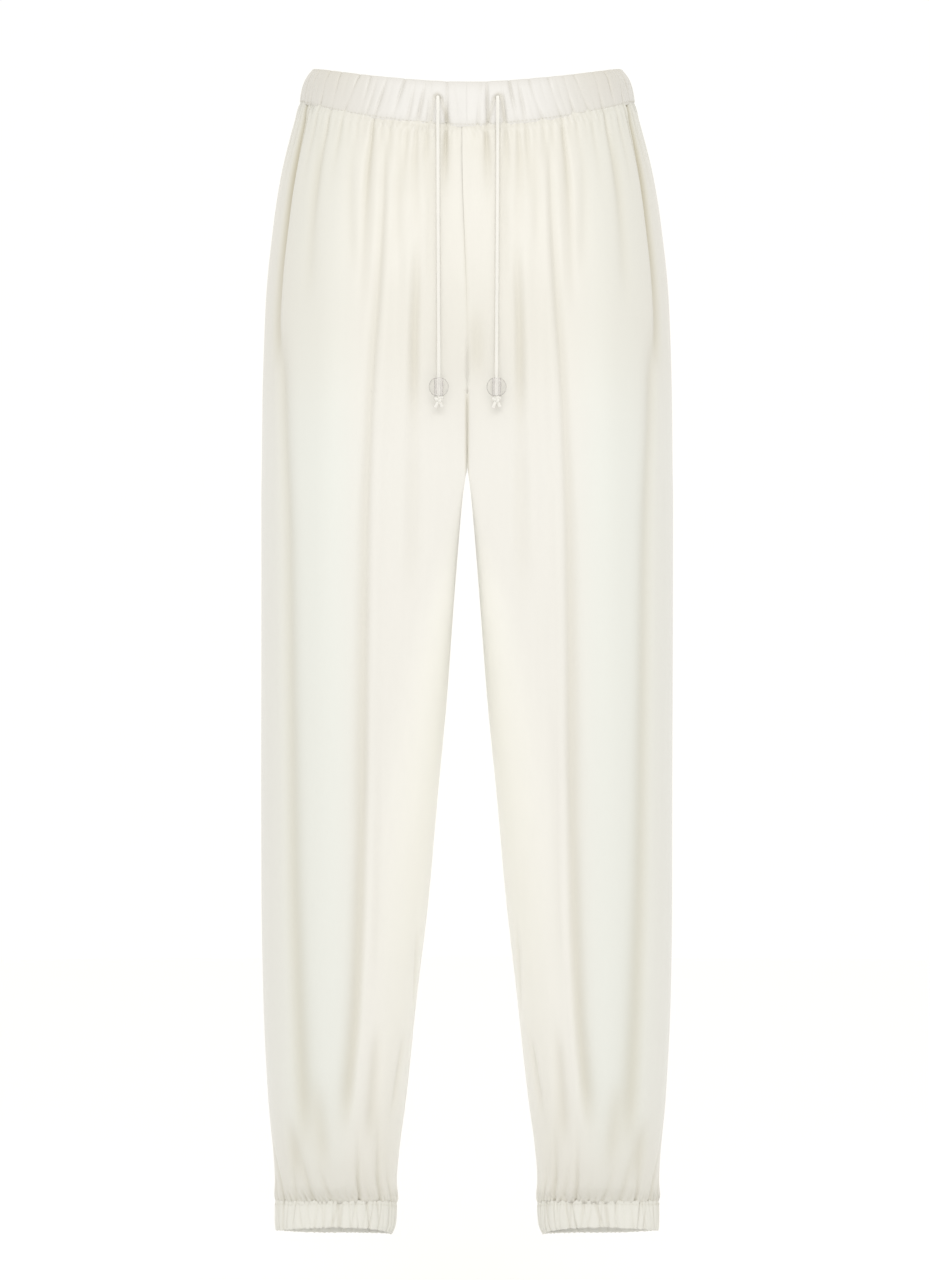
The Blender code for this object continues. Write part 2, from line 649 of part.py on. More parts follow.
def panel_columns(drop, is_front, width, grids):
    """Places around of a row's points, from the inner seam or side seam on."""
    low, high = (0.0, 1.0) if is_front else (1.0, 2.0)
    length = (WAIST_SEAM[1] - CUFF_SEAM[1]) * MM
    near_waist = drop * length <= WAIST_ROWS[-2] * MM + MM
    near_cuff = (1 - drop) * length <= CUFF_ROWS[1] * MM + MM
    row = int(round(drop * (GRID_DROPS - 1)))
    if near_waist:
        knots = [gather["foot"] for gather in waist_gathers()]
    elif near_cuff:
        knots = [gather["around"] for gather in cuff_gathers()]
    else:
        knots = [places[row] for places in grids["folds"]]
        at = 1 if is_front else -2
        turns = [float(edge[row, at]) for edge in grids["corner"]]
        knots += turns if is_front else [2 - turn for turn in turns]
    knots = knots_between(knots, low, high)
    spans = np.diff(knots) * width
    if near_waist or near_cuff:
        return spread_between(knots, np.where(spans > WIDE_SPAN, 3, 2))
    return spread_between(knots, np.maximum(1, np.ceil(spans / MIDDLE_COLUMN)).astype(int))


def panel(name, grids, is_front, side, lap):
    """One leg panel, from the waist seam to the cuff seam and from the inner seam to the side seam."""
    outer_rows = []
    inner_rows = []
    for drop in panel_row_drops():
        width = float(read_grid(grids["width"][..., None], np.array(drop), np.array(1.0))[0])
        places = panel_columns(drop, is_front, width, grids)
        trim = SEAM_GAP / 2 / width
        if is_front:
            places[-1] -= trim
        else:
            places[0] += trim
        if drop >= CROTCH_DROP:
            places[0 if is_front else -1] += trim if is_front else -trim
        drops = np.full(len(places), drop)
        for rows, face in ((outer_rows, "outer"), (inner_rows, "inner")):
            points = keep_to_half(read_grid(grids[face], drops, places), lap)
            rows.append((drop, (places - 1) * width, mirrored(points, side)))
    return wall(name, outer_rows, inner_rows, closed=False, flip=side < 0)


def band(name, grids, is_front):
    """Half of the waistband, from side seam to side seam over both halves of the garment."""
    low, high = (0.0, 1.0) if is_front else (1.0, 2.0)
    outer_rows = []
    inner_rows = []
    half_width = float(outer_form(np.array(WAIST_SEAM[1] * MM), np.array(0.5))[1])
    trim = SEAM_GAP / 2 / half_width
    for share in BAND_ROWS:
        knots = [gather["foot"] + (gather["head"] - gather["foot"]) * share for gather in waist_gathers()]
        knots = knots_between(knots, low, high)
        close = spread_between(knots, [3] * (len(knots) - 1))
        outer_rows.append((share, half_band_places(close, is_front, trim)))
        if share in (BAND_ROWS[0], BAND_ROWS[-1]):
            inner_rows.append((share, half_band_places(np.array(knots), is_front, trim)))
    made = []
    for rows, face in ((outer_rows, "outer"), (inner_rows, "inner")):
        filled = []
        for share, places in rows:
            signs = np.where(places < 0, -1, 1) if is_front else np.where(places > 2, -1, 1)
            around = np.abs(places) if is_front else np.where(places > 2, 4 - places, places)
            points = read_grid(grids[face], np.full(len(places), share), around)
            points[:, 0] *= signs
            filled.append((share, places, points))
        made.append(filled)
    return wall(name, made[0], made[1], closed=False, flip=True)


def half_band_places(places, is_front, trim):
    """Places over both halves: -1 to 1 for the front, 1 to 3 for the back, trimmed at the side seams."""
    places = places.copy()
    if is_front:
        places[-1] -= trim
        return np.concatenate([-places[:0:-1], places])
    places[0] += trim
    return np.concatenate([places, 4 - places[-2::-1]])


def cuff(name, grids, side):
    """One cuff, a closed band of fine gathers."""
    outer_places = np.linspace(0, 2, 2 * CUFF_RIBS, endpoint=False)
    inner_places = np.linspace(0, 2, CUFF_RIBS, endpoint=False)
    outer_rows = []
    inner_rows = []
    for share in CUFF_BAND_ROWS:
        points = read_grid(grids["outer"], np.full(len(outer_places), share), outer_places)
        outer_rows.append((share, outer_places, mirrored(points, side)))
    for share in (CUFF_BAND_ROWS[0], CUFF_BAND_ROWS[-1]):
        points = read_grid(grids["inner"], np.full(len(inner_places), share), inner_places)
        inner_rows.append((share, inner_places, mirrored(points, side)))
    return wall(name, outer_rows, inner_rows, closed=True, flip=side < 0)


def cord_route(leaves_x, bead_x, band_y):
    """Evenly spaced points of a cord end, on a smooth curve through its route."""
    route = table(CORD_ROUTE, ROUTE_COLUMNS)
    below = route["below"] * MM
    before = route["before"] * MM
    steps = np.concatenate([[0], np.cumsum(np.hypot(np.diff(below), np.diff(before)))])
    at = np.linspace(0, steps[-1], CORD_POINTS)
    z = CORD_LEAVES_Z - smooth_curve(steps, below, at)
    y = band_y - smooth_curve(steps, before, at)
    x = (leaves_x + (bead_x - leaves_x) * ease(smooth_curve(steps, below, at) / below[-1])) * MM
    return np.stack([x, y, z], axis=-1)


def cord(name, points):
    """A cord end as a round tube along its route."""
    curve = bpy.data.curves.new(name, "CURVE")
    curve.dimensions = "3D"
    curve.bevel_depth = CORD_THICK / 2
    curve.bevel_resolution = 2
    curve.use_fill_caps = True
    spline = curve.splines.new("POLY")
    spline.points.add(len(points) - 1)
    for place, point in zip(spline.points, points):
        place.co = (*point, 1)
    return bpy.data.objects.new(name, curve)


def bead(name, place):
    """A round bead with a drilled channel, turned from its profile."""
    hole = BEAD_HOLE / 2
    rim = math.asin(hole / (BEAD_WIDE / 2))
    angles = np.linspace(rim, math.pi - rim, BEAD_RINGS)
    outline = [(BEAD_WIDE / 2 * math.sin(a), BEAD_TALL / 2 * math.cos(a) / math.cos(rim)) for a in angles]
    mesh = bpy.data.meshes.new(name)
    bm = bmesh.new()
    verts = [bm.verts.new((x, 0, z)) for x, z in outline]
    for a, b in zip(verts, verts[1:] + verts[:1]):
        bm.edges.new((a, b))
    bm.to_mesh(mesh)
    bm.free()
    made = bpy.data.objects.new(name, mesh)
    screw = made.modifiers.new("turned", "SCREW")
    screw.steps = BEAD_SIDES
    screw.render_steps = BEAD_SIDES
    screw.use_merge_vertices = True
    screw.merge_threshold = 0.00001
    screw.use_normal_calculate = True
    made.location = place
    return made


def knot(name, place):
    """The round body of a small knot of the cord."""
    bm = bmesh.new()
    bmesh.ops.create_uvsphere(bm, u_segments=12, v_segments=8, radius=0.5)
    bmesh.ops.scale(bm, verts=bm.verts, vec=(KNOT_WIDE, KNOT_DEEP, KNOT_TALL))
    mesh = bpy.data.meshes.new(name)
    bm.to_mesh(mesh)
    bm.free()
    made = bpy.data.objects.new(name, mesh)
    made.location = place
    return made


def tail(name, place, lean):
    """A short cut tail under a knot, to be joined to it."""
    bm = bmesh.new()
    bmesh.ops.create_cone(bm, cap_ends=True, segments=8, radius1=CORD_THICK / 2, radius2=CORD_THICK / 2,
                          depth=TAIL_LONG)
    mesh = bpy.data.meshes.new(name)
    bm.to_mesh(mesh)
    bm.free()
    made = bpy.data.objects.new(name, mesh)
    made.location = place
    made.rotation_euler = (0, lean, 0)
    return made


def eyelet_cutter(name, place):
    """The opening in the band that a cord end leaves by."""
    bm = bmesh.new()
    bmesh.ops.create_cone(bm, cap_ends=True, segments=16, radius1=EYELET_WIDE / 2, radius2=EYELET_WIDE / 2,
                          depth=2 * EYELET_DEEP)
    mesh = bpy.data.meshes.new(name)
    bm.to_mesh(mesh)
    bm.free()
    made = bpy.data.objects.new(name, mesh)
    made.location = place
    made.rotation_euler = (math.pi / 2, 0, 0)
    return made


def finish(name, colour, roughness, alpha=1.0):
    """A material of one colour, given as linear red, green and blue."""
    material = bpy.data.materials.new(name)
    material.use_nodes = True
    shader = material.node_tree.nodes["Principled BSDF"]
    shader.inputs["Base Color"].default_value = (*colour, 1)
    shader.inputs["Roughness"].default_value = roughness
    shader.inputs["Alpha"].default_value = alpha
    return material


def boolean(made, cutter, operation):
    """Cut or join one object with another."""
    modifier = made.modifiers.new(operation.lower(), "BOOLEAN")
    modifier.operation = operation
    modifier.solver = "EXACT"
    modifier.object = cutter


def build():
    """Make every piece of the garment in its collection."""
    for old in list(bpy.data.objects):
        bpy.data.objects.remove(old, do_unlink=True)
    pieces = bpy.data.collections.new(GARMENT)
    cutters = bpy.data.collections.new("cutters")
    for collection in (pieces, cutters):
        bpy.context.scene.collection.children.link(collection)

    satin = {kind: finish("ivory_satin_" + kind, colour, SATIN_ROUGHNESS) for kind, colour in SATIN_COLOURS}
    clear = finish("clear_acrylic", BEAD_COLOUR, BEAD_ROUGHNESS, BEAD_ALPHA)

    def add(made, material):
        made.data.materials.append(material)
        pieces.objects.link(made)

    for side_name, side, lap in (("left", 1, 1), ("right", -1, -1)):
        grids = panel_grids(lap)
        add(panel("front_" + side_name, grids, True, side, lap), satin["front"])
        add(panel("back_" + side_name, grids, False, side, lap), satin["back"])

    cuffs = cuff_grids()
    for side_name, side in (("left", 1), ("right", -1)):
        add(cuff("cuff_" + side_name, cuffs, side), satin["cuff"])

    bands = band_grids()
    band_front = band("waistband_front", bands, True)
    add(band_front, satin["band"])
    add(band("waistband_back", bands, False), satin["band"])

    def add_cutter(made):
        cutters.objects.link(made)
        made.hide_render = True
        made.display_type = "WIRE"

    band_y = -section("front", np.array(CORD_LEAVES_Z)) - BAND_PUFF
    for row in CORD_ENDS:
        cord_end = dict(zip(CORD_COLUMNS, row))
        side_name = cord_end["side"]
        opening = eyelet_cutter("eyelet_" + side_name, (cord_end["leaves_x"] * MM, band_y, CORD_LEAVES_Z))
        add_cutter(opening)
        boolean(band_front, opening, "DIFFERENCE")
        points = cord_route(cord_end["leaves_x"], cord_end["bead_x"], band_y)
        add(cord("drawstring_" + side_name, points), satin["cord"])
        end = points[-1]
        bead_place = (end[0], end[1], BEAD_Z)
        add(bead("bead_" + side_name, bead_place), clear)
        knot_z = end[2] - SEAM_GAP - KNOT_TALL / 2
        made = knot("knot_" + side_name, (end[0], end[1], knot_z))
        add(made, satin["cord"])
        for tail_name, lean in TAIL_LEANS:
            reach = KNOT_TALL / 2 + TAIL_LONG / 2 - TAIL_INSIDE
            place = (end[0] - reach * math.sin(lean), end[1], knot_z - reach * math.cos(lean))
            loose = tail(f"tail_{side_name}_{tail_name}", place, lean)
            add_cutter(loose)
            boolean(made, loose, "UNION")


build()
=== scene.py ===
"""Pull-on trousers of ivory satin, dressed over their solids.

Each cloth piece lies on the same outer form as its solid, worked out from the same sections, with every
gather, fold and crease moved in or out along the form's own normals. The leg panels are thin shells, and
the waistband and the cuffs are doubled cloth. Tables are in millimetres, and everything made from them is
in metres. The front faces -Y, and left and right are the wearer's, so left is +X.
"""
import math

import bpy
import numpy as np
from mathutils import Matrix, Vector


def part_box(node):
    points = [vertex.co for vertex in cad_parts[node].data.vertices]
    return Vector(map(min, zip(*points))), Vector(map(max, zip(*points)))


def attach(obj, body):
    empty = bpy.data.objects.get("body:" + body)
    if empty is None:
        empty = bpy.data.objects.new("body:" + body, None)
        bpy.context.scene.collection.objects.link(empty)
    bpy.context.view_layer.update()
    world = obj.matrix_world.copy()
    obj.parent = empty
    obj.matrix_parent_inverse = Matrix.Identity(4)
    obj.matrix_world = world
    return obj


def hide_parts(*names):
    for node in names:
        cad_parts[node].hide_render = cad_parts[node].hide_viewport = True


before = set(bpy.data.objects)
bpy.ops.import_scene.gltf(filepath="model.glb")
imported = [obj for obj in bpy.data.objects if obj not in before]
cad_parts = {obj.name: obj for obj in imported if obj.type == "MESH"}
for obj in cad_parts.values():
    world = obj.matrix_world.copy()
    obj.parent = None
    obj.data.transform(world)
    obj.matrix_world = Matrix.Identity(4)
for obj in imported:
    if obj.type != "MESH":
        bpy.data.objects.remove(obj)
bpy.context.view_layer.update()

bl_info = {
    "name": "Gathered satin trousers",
    "version": (1, 0, 0),
    "blender": (4, 5, 0),
    "location": "3D View > Sidebar > Trousers",
    "description": "Makes a pair of gathered satin trousers with a beaded drawstring, as worn",
    "category": "Object",
}

MM = 0.001

# Heights of the edges and seams at the centre front, the side and the centre back
BAND_TOP = (-6.3, 15.0, 12.0)
WAIST_SEAM = (-46.7, -15.0, -24.0)
CUFF_SEAM = (-980.6, -984.2, -989.5)
CUFF_HEM = (-1005.8, -1012.5, -1019.0)
CUFF_SEAM_INNER = -986.0
CUFF_HEM_INNER = -1016.0
# How quickly the waist's edges leave their height at the side, and a cuff's theirs at its two seams
EDGE_SWEEP = 1.8
LEG_EDGE_SWEEP = 1.3

# Level sections of one half: where its side seam and inseam are, how far it stands out in front and
# behind and where, and how much of its inner side is rounded
SECTION_COLUMNS = ("height", "outer", "inner", "front", "back", "front_peak", "back_peak",
                   "side_seam", "inseam", "corner")
SECTIONS = (
    (20, 134.5, 0, 96, 104, 24, 30, 0, 15, 0.16),
    (1, 144.0, 0, 97, 105.5, 24, 31, 0, 15, 0.16),
    (-15, 147.6, 0, 98, 107, 24, 32, 0, 15, 0.16),
    (-40, 155.7, 0, 101, 112, 26, 36, 1, 15, 0.16),
    (-80, 165.2, 0, 109, 121, 30, 44, 2, 15, 0.16),
    (-120, 171.4, 0, 116, 129, 36, 52, 3, 15, 0.16),
    (-190, 178.4, 0, 121, 135, 52, 66, 4, 15, 0.05),
    (-285, 181.4, 0, 120, 129, 80, 84, 4, 15, 0.034),
    (-338, 181.9, 0.5, 116, 121, 88, 90, 3, 8, 0.045),
    (-365, 182.3, 3.8, 114, 116, 92, 94, 2, 5, 0.1),
    (-450, 182.2, 11.1, 107, 105, 97, 98, 1, 2, 0.35),
    (-540, 182.0, 18.0, 101, 96, 100, 101, 0, 0, 0.65),
    (-630, 181.9, 26.6, 94, 89, 104, 104, 0, 0, 0.85),
    (-720, 181.7, 34.6, 87, 84, 108, 108, 0, 0, 1),
    (-805, 180.1, 44.5, 79, 80, 112, 112, 0, 0, 1),
    (-895, 175.7, 54.3, 67, 73, 115, 115, 2, 2, 1),
    (-940, 171.8, 60.0, 56, 64, 116, 116, 4, 4, 1),
    (-966, 170.4, 62.2, 43, 55, 116, 116, 6, 6, 1),
    (-984, 169.6, 62.6, 27, 43, 116, 116, 8, 8, 1),
    (-1004, 169.6, 63.8, 26, 43, 117, 117, 9, 9, 1),
    (-1025, 169.2, 71.0, 24, 44, 119, 119, 10, 10, 1),
)
# How much squarer than an ellipse the outer quarters are
OUTER_SQUARE = 0.025
# How far the front and the back curve in towards each other beside the crotch, in full this far below it
BOW = 7 * MM
BOW_PAST = 30 * MM
# The middle of a leg's cross-section at the ankle
LEG_MIDDLE = (116 * MM, 8 * MM)
# The wall between the legs hollows away from the other leg, in full once it is WALL_PARTS from the middle, so
# that its front corner is what shows. It does so by WALL_SLOPE of the front wall's length at the inseam, and
# at its back corner by WALL_BEHIND_LEAST and WALL_BEHIND of its distance from the middle, in full where the
# wall behind is WALL_SOME long
WALL_PARTS = 0.8 * MM
WALL_SLOPE = 0.06
WALL_BEHIND = 0.07
WALL_BEHIND_LEAST = 3.0 * MM
WALL_SOME = 20 * MM

# The crotch seam turns under from the belly and the seat to one low point
CROTCH = -285 * MM
SEAM_TURNS_FRONT = -205 * MM
SEAM_TURNS_BACK = -150 * MM
TURN_POWER = {True: 8.0, False: 4.0}
TURN_ROUND = 26 * MM
TURN_CLOSER = 0.35
CROTCH_DROP = 0.32
# The panels of the two legs touch in the middle down to this far below the waist. Relief is held back there,
# this far from the middle, and comes in over this height
PARTED_BELOW = 385 * MM
MEETING_WIDE = 9 * MM
MEETING_FADE = 50 * MM
# The line where the two legs touch in front: its top, its fade, its place and width, and how much painted
# shade darkens it
GROOVE_TOP = -264 * MM
GROOVE_FADE = 24 * MM
GROOVE_AT = 0.7 * MM
GROOVE_WIDE = 1.1 * MM
GROOVE_SHADE = 0.5
# The panels' rows settle onto the waist seam and the cuff seam over these shares of their length
WAIST_SETTLES = 0.2
CUFF_SETTLES_FROM = 0.9
CUFF_SETTLES_OVER = 0.1
# How far a panel's edges are tucked in, and up under the band or down into the cuff
TUCK_IN = 1.4 * MM
TUCK_UP = 3.0 * MM
TUCK_DOWN = -3.4 * MM

# The left front laps over the right like a fly, to the wearer's right of the middle
LAP_OFFSET = 4.3 * MM
LAP_RAISE = 0.8 * MM
LAP_SUNK = 0.7 * MM
LAP_WIDE = 9 * MM
LAP_FULL = -60 * MM
LAP_ENDS = -225 * MM
LAP_REACH = 30 * MM
# Painted shade along the lapped edge, deepest round one height
LAP_LINE_WIDE = 1.6 * MM
LAP_LINE_SHADE = 0.16
LAP_LINE_MIDDLE = -165 * MM
LAP_LINE_LONG = 55 * MM

# Waist gathers of one half: distances from the centre along the band's foot and head, how far they draw
# the band and the panel in, how far they run down the panel, and how wide they are at the seam
GATHER_COLUMNS = ("foot", "head", "band_deep", "panel_deep", "run", "wide")
FRONT_WAIST_GATHERS = (
    (8, 11.5, 1.0, 0.8, 14, 1.6),
    (12.5, 14, 0.0, 0.7, 16, 1.4),
    (17.2, 17.6, 2.6, 3.0, 34, 1.7),
    (24, 23, 0.2, 0.9, 18, 1.6),
    (31, 30, 1.5, 2.1, 30, 1.7),
    (35, 33, 0.5, 1.3, 12, 1.2),
    (39, 35, 1.8, 1.5, 30, 1.6),
    (46, 43, 1.3, 1.7, 40, 1.9),
    (52, 47, 0.6, 0.8, 16, 1.4),
    (58, 51, 1.6, 1.2, 26, 1.8),
    (65, 60, 0.5, 1.0, 18, 1.5),
    (72, 66, 1.7, 3.0, 62, 2.0),
    (78, 73, 0.9, 0.8, 14, 1.5),
    (84, 80, 1.5, 1.1, 24, 1.8),
    (91, 85, 0.7, 0.9, 18, 1.5),
    (98, 90, 1.9, 1.6, 36, 1.9),
    (105, 100, 0.8, 0.8, 16, 1.5),
    (112, 110, 1.5, 2.6, 64, 2.2),
    (120, 118, 0.8, 0.8, 18, 1.6),
    (128, 126, 1.9, 1.5, 40, 2.0),
    (136, 135, 0.9, 0.9, 20, 1.6),
    (145, 145, 1.7, 3.2, 76, 2.3),
    (153, 152, 0.9, 1.0, 22, 1.6),
    (161, 160, 2.0, 1.9, 46, 2.2),
    (169, 169, 0.9, 0.8, 20, 1.6),
    (178, 179, 1.6, 1.8, 40, 2.0),
    (185, 186, 0.8, 0.9, 20, 1.6),
    (192, 192, 1.4, 1.7, 34, 1.9),
)
BACK_WAIST_GATHERS = (
    (7, 7, 2.0, 2.0, 26, 1.8),
    (15, 14, 1.0, 0.9, 16, 1.5),
    (24, 22, 2.0, 2.1, 32, 1.9),
    (32, 32, 1.3, 1.3, 44, 1.7),
    (40, 41, 1.0, 0.9, 18, 1.5),
    (49, 51, 2.4, 2.6, 53, 2.1),
    (56, 56, 0.8, 0.8, 16, 1.5),
    (62, 61, 1.5, 1.5, 40, 1.8),
    (72, 70, 1.7, 1.7, 28, 1.8),
    (81, 80, 1.0, 0.9, 18, 1.5),
    (90, 91, 2.3, 2.5, 30, 2.0),
    (99, 100, 1.3, 1.2, 40, 1.7),
    (106, 105, 0.9, 0.9, 18, 1.5),
    (113, 111, 2.2, 2.4, 53, 2.0),
    (121, 121, 0.9, 0.8, 18, 1.5),
    (129, 128, 1.9, 2.0, 46, 1.9),
    (138, 140, 1.4, 1.3, 30, 1.7),
    (147, 147, 0.9, 0.9, 18, 1.5),
    (155, 155, 2.3, 2.6, 28, 2.0),
    (166, 164, 1.4, 1.4, 36, 1.8),
    (172, 172, 0.8, 0.8, 18, 1.5),
    (178, 178, 1.8, 1.9, 50, 1.9),
)

# Gathers of one half leg at the cuff: the share of the panel's width from the inseam, how far that
# changes up the leg, how deep they are, how far they run up, and how wide they are at the seam
CUFF_COLUMNS = ("around", "lean", "deep", "run", "wide")
FRONT_CUFF_GATHERS = (
    (0.05, 0.02, 1.2, 22, 1.8),
    (0.09, 0.03, 0.8, 12, 1.4),
    (0.135, 0.05, 1.7, 30, 1.9),
    (0.185, 0.06, 1.0, 22, 1.6),
    (0.235, 0.03, 2.4, 58, 2.6),
    (0.275, 0.02, 0.9, 14, 1.4),
    (0.31, 0.02, 1.3, 26, 1.7),
    (0.37, 0.01, 3.0, 42, 1.5),
    (0.405, -0.01, 0.9, 12, 1.3),
    (0.445, 0.0, 1.1, 16, 1.5),
    (0.48, 0.01, 0.9, 12, 1.3),
    (0.52, 0.04, 2.0, 22, 1.5),
    (0.56, 0.0, 0.7, 12, 1.3),
    (0.61, 0.06, 2.1, 40, 2.1),
    (0.655, 0.02, 0.9, 14, 1.4),
    (0.70, 0.02, 2.1, 30, 1.7),
    (0.745, 0.03, 0.9, 14, 1.5),
    (0.80, 0.09, 2.2, 44, 2.4),
    (0.845, 0.04, 1.0, 18, 1.5),
    (0.89, 0.05, 1.9, 30, 1.9),
    (0.94, 0.03, 1.3, 26, 1.7),
)
BACK_CUFF_GATHERS = (
    (0.07, 0.02, 1.4, 28, 1.9),
    (0.115, 0.03, 0.9, 14, 1.4),
    (0.16, 0.04, 1.9, 44, 2.1),
    (0.22, 0.02, 0.9, 16, 1.5),
    (0.27, 0.02, 1.4, 24, 1.7),
    (0.35, 0.03, 2.6, 56, 2.4),
    (0.41, 0.02, 0.9, 16, 1.5),
    (0.46, 0.01, 1.3, 22, 1.7),
    (0.50, 0.0, 0.9, 14, 1.4),
    (0.55, -0.02, 2.1, 48, 2.1),
    (0.60, 0.0, 0.9, 14, 1.4),
    (0.64, 0.0, 1.4, 22, 1.7),
    (0.685, 0.02, 0.9, 16, 1.5),
    (0.73, 0.04, 2.5, 52, 2.3),
    (0.79, 0.04, 0.9, 16, 1.5),
    (0.85, 0.05, 1.7, 32, 1.9),
    (0.94, 0.02, 1.4, 24, 1.7),
)

# How wide a gather is at its seam, and how much wider at the end of its run, in shares of its width
WAIST_SPREAD = (0.75, 1.1)
CUFF_SPREAD = (0.8, 1.1)
# A waist gather fades a little past its run, and is shallower close to the seam
WAIST_REACH = 1.25
SHALLOWER = 0.45
SHALLOWER_OVER = 5 * MM
# How unlike the gathers of the two sides are: shifts along the seam, and shares of their depth
WAIST_SHIFT = 0.5 * MM
WAIST_UNLIKE = 0.14
CUFF_SHIFT = 0.004
CUFF_UNLIKE = 0.15
# How fast the shoulders of a pinched gather die away
PINCH_POWER = 1.3

# Long folds and creases of one half leg. path is the distance from the middle at each height. out is how
# far the ridge stands out, or less than 0 for a trough, at the top and at the foot, and wide is the half
# width there. fade is the length over which each end dies away. shade is how much painted shade darkens the
# satin along the fold, at its top and its foot. Where lean is over 1, the side away from the middle is the
# wider.
FOLD_COLUMNS = ("path", "out_top", "out_foot", "wide_top", "wide_foot", "fade",
                "shade_top", "shade_foot", "lean")
FRONT_FOLDS = (
    (((134, 20), (141, -22), (148, -50), (155, -88), (159, -123), (164, -175), (166, -221), (166, -262)),
     -4.4, -2.8, 2.4, 7, 40, 1.1, 0.3, 1),
    (((162, -200), (161, -281), (157, -402), (155, -541), (153, -680), (149, -801), (144, -899),
      (141, -950)), -3.8, -4.2, 9, 10, 70, 0.24, 0.46, 0.8),
    (((112, -60), (118, -130), (121, -402), (120, -680), (119, -801), (120, -930)),
     1.6, 3.2, 16, 20, 80, 0, 0, 1),
    (((71, -38), (72, -100), (76, -186), (81, -255), (87, -402), (91, -680), (95, -801), (103, -890),
      (106, -930)), -1.6, -4.0, 3, 7, 60, 0.08, 0.46, 1.35),
    (((66, -110), (68, -152), (74, -293), (78, -402), (81, -540), (83, -680), (87, -801)),
     1.2, 2.0, 5, 7, 70, 0, 0, 1),
    (((42, -120), (43, -170), (45, -235), (45, -300), (46, -330)), -1.2, -3.2, 3, 5, 90, 0.1, 0.42, 1.1),
    (((45, -290), (45, -350), (47, -471)), -1.6, -1.4, 5, 8, 60, 0.1, 0.06, 1.2),
    (((50, -120), (52, -221), (54, -299), (57, -450)), 1.0, 1.2, 5, 7, 60, 0, 0, 1),
    (((46, -46), (45, -100), (43, -150)), -0.9, -0.6, 3, 5, 35, 0.1, 0.05, 1),
    (((30, -46), (31, -120), (30, -210)), -1.0, -0.8, 3, 6, 45, 0.1, 0.04, 1),
    (((100, -50), (101, -110), (99, -190)), -1.2, -0.8, 3.5, 7, 50, 0.12, 0.05, 1.2),
    (((86, -44), (88, -110), (92, -220)), -1.0, -0.8, 3, 6, 55, 0.1, 0.05, 0.8),
    (((128, -36), (133, -110), (138, -210)), -1.3, -1.0, 4, 8, 50, 0.16, 0.08, 1),
    (((58, -46), (60, -100), (62, -170)), -0.9, -0.6, 2.5, 5, 40, 0.1, 0.04, 1),
    (((54, -825), (60, -868), (68, -915)), -1.6, -1.8, 4.5, 5.5, 34, 0.22, 0.2, 1),
    (((43, -730), (45, -780), (48, -825)), -1.4, -1.4, 4.5, 5, 36, 0.18, 0.15, 1),
    (((76, -815), (80, -870), (85, -940)), -1.8, -2.4, 6.5, 7.5, 44, 0.18, 0.28, 1),
    (((131, -860), (128, -910), (124, -965)), -1.6, -2.6, 8, 6.5, 44, 0.18, 0.3, 1),
    (((156, -900), (152, -935), (147, -968)), -1.8, -2.8, 7, 6, 32, 0.2, 0.36, 1),
)
BACK_FOLDS = (
    (((140, -25), (148, -90), (156, -170), (160, -240)), -3.0, -2.0, 3, 8, 50, 0.5, 0.15, 1),
    (((150, -190), (152, -402), (150, -680), (144, -850), (142, -930)),
     -2.8, -3.8, 9, 11, 80, 0.2, 0.45, 0.8),
    (((108, -60), (118, -260), (122, -520), (124, -820)), 1.6, 2.8, 16, 19, 90, 0, 0, 1),
    (((84, -120), (90, -300), (98, -540), (104, -800), (106, -930)), -2.4, -4.0, 8, 9, 80, 0.15, 0.5, 1.3),
    (((60, -160), (68, -330), (78, -560), (86, -820)), 1.2, 2.2, 12, 15, 90, 0, 0, 1),
    (((32, -200), (38, -290), (46, -420), (50, -560)), -3.2, -3.0, 9, 11, 70, 0.2, 0.12, 1.2),
    (((52, -60), (56, -130), (54, -190)), -1.4, -0.8, 4, 8, 40, 0.12, 0.05, 1),
    (((90, -50), (92, -120), (88, -210)), -1.3, -0.8, 4, 8, 45, 0.12, 0.05, 1),
    (((116, -50), (120, -130), (124, -200)), -1.4, -0.8, 4, 9, 45, 0.12, 0.05, 1),
    (((70, -850), (76, -900), (84, -950)), -1.8, -2.2, 5, 5, 30, 0.2, 0.3, 1),
)
# A shallow hollow under the foot of the fly, on the left front only
FLY_HOLLOW = (((7, -195), (8, -235), (8, -275)), -1.6, -2.0, 7, 7, 34, 0.14, 0.22, 1)

# Slow waves over the cloth. long is a wave's length over 2 pi, and bend_long that of the bends in its crests.
# Where level is 1 it runs across the cloth, and where it is 0 up and down.
WAVE_COLUMNS = ("size", "level", "long", "bend", "bend_long", "bend_turn", "turn")
SLOW_WAVES = (
    (0.42, 1, 19, 2.3, 210, 1, 1),
    (0.34, 1, 33, -1.7, 340, -2, 0),
    (0.24, 0, 52, 1.9, 41, 3, 0),
)

# The cloth stands out a little beside the two gathered seams, and its slow waves die away towards them
SEAM_PUFF = 1.1 * MM
SEAM_PUFF_AT = 5 * MM
SEAM_PUFF_WIDE = 9 * MM
CALM_OVER = 30 * MM
# How deep the side, inner and gathered seams pull the cloth in, how wide, and how much painted shade darkens
# the last ones
SIDE_SEAM_DEEP = 0.5 * MM
INNER_SEAM_DEEP = 0.4 * MM
SEAM_WIDE = 0.9 * MM
EDGE_DEEP = 0.35 * MM
EDGE_WIDE = 1.4 * MM
EDGE_SHADE = 0.06
# Small puckers beside the gathered seams: their distance from a seam, how far they reach at the waist and
# the cuff, how much stronger they are at the cuff, how deep they are, their painted shade, and how long
PUCKER_AT = 1.5 * MM
PUCKER_WAIST = 5.5 * MM
PUCKER_CUFF = 6.5 * MM
PUCKER_CUFF_MORE = 1.7
PUCKER_DEEP = 0.5 * MM
PUCKER_SHADE = 0.11
PUCKER_LONG = 4.3 * MM

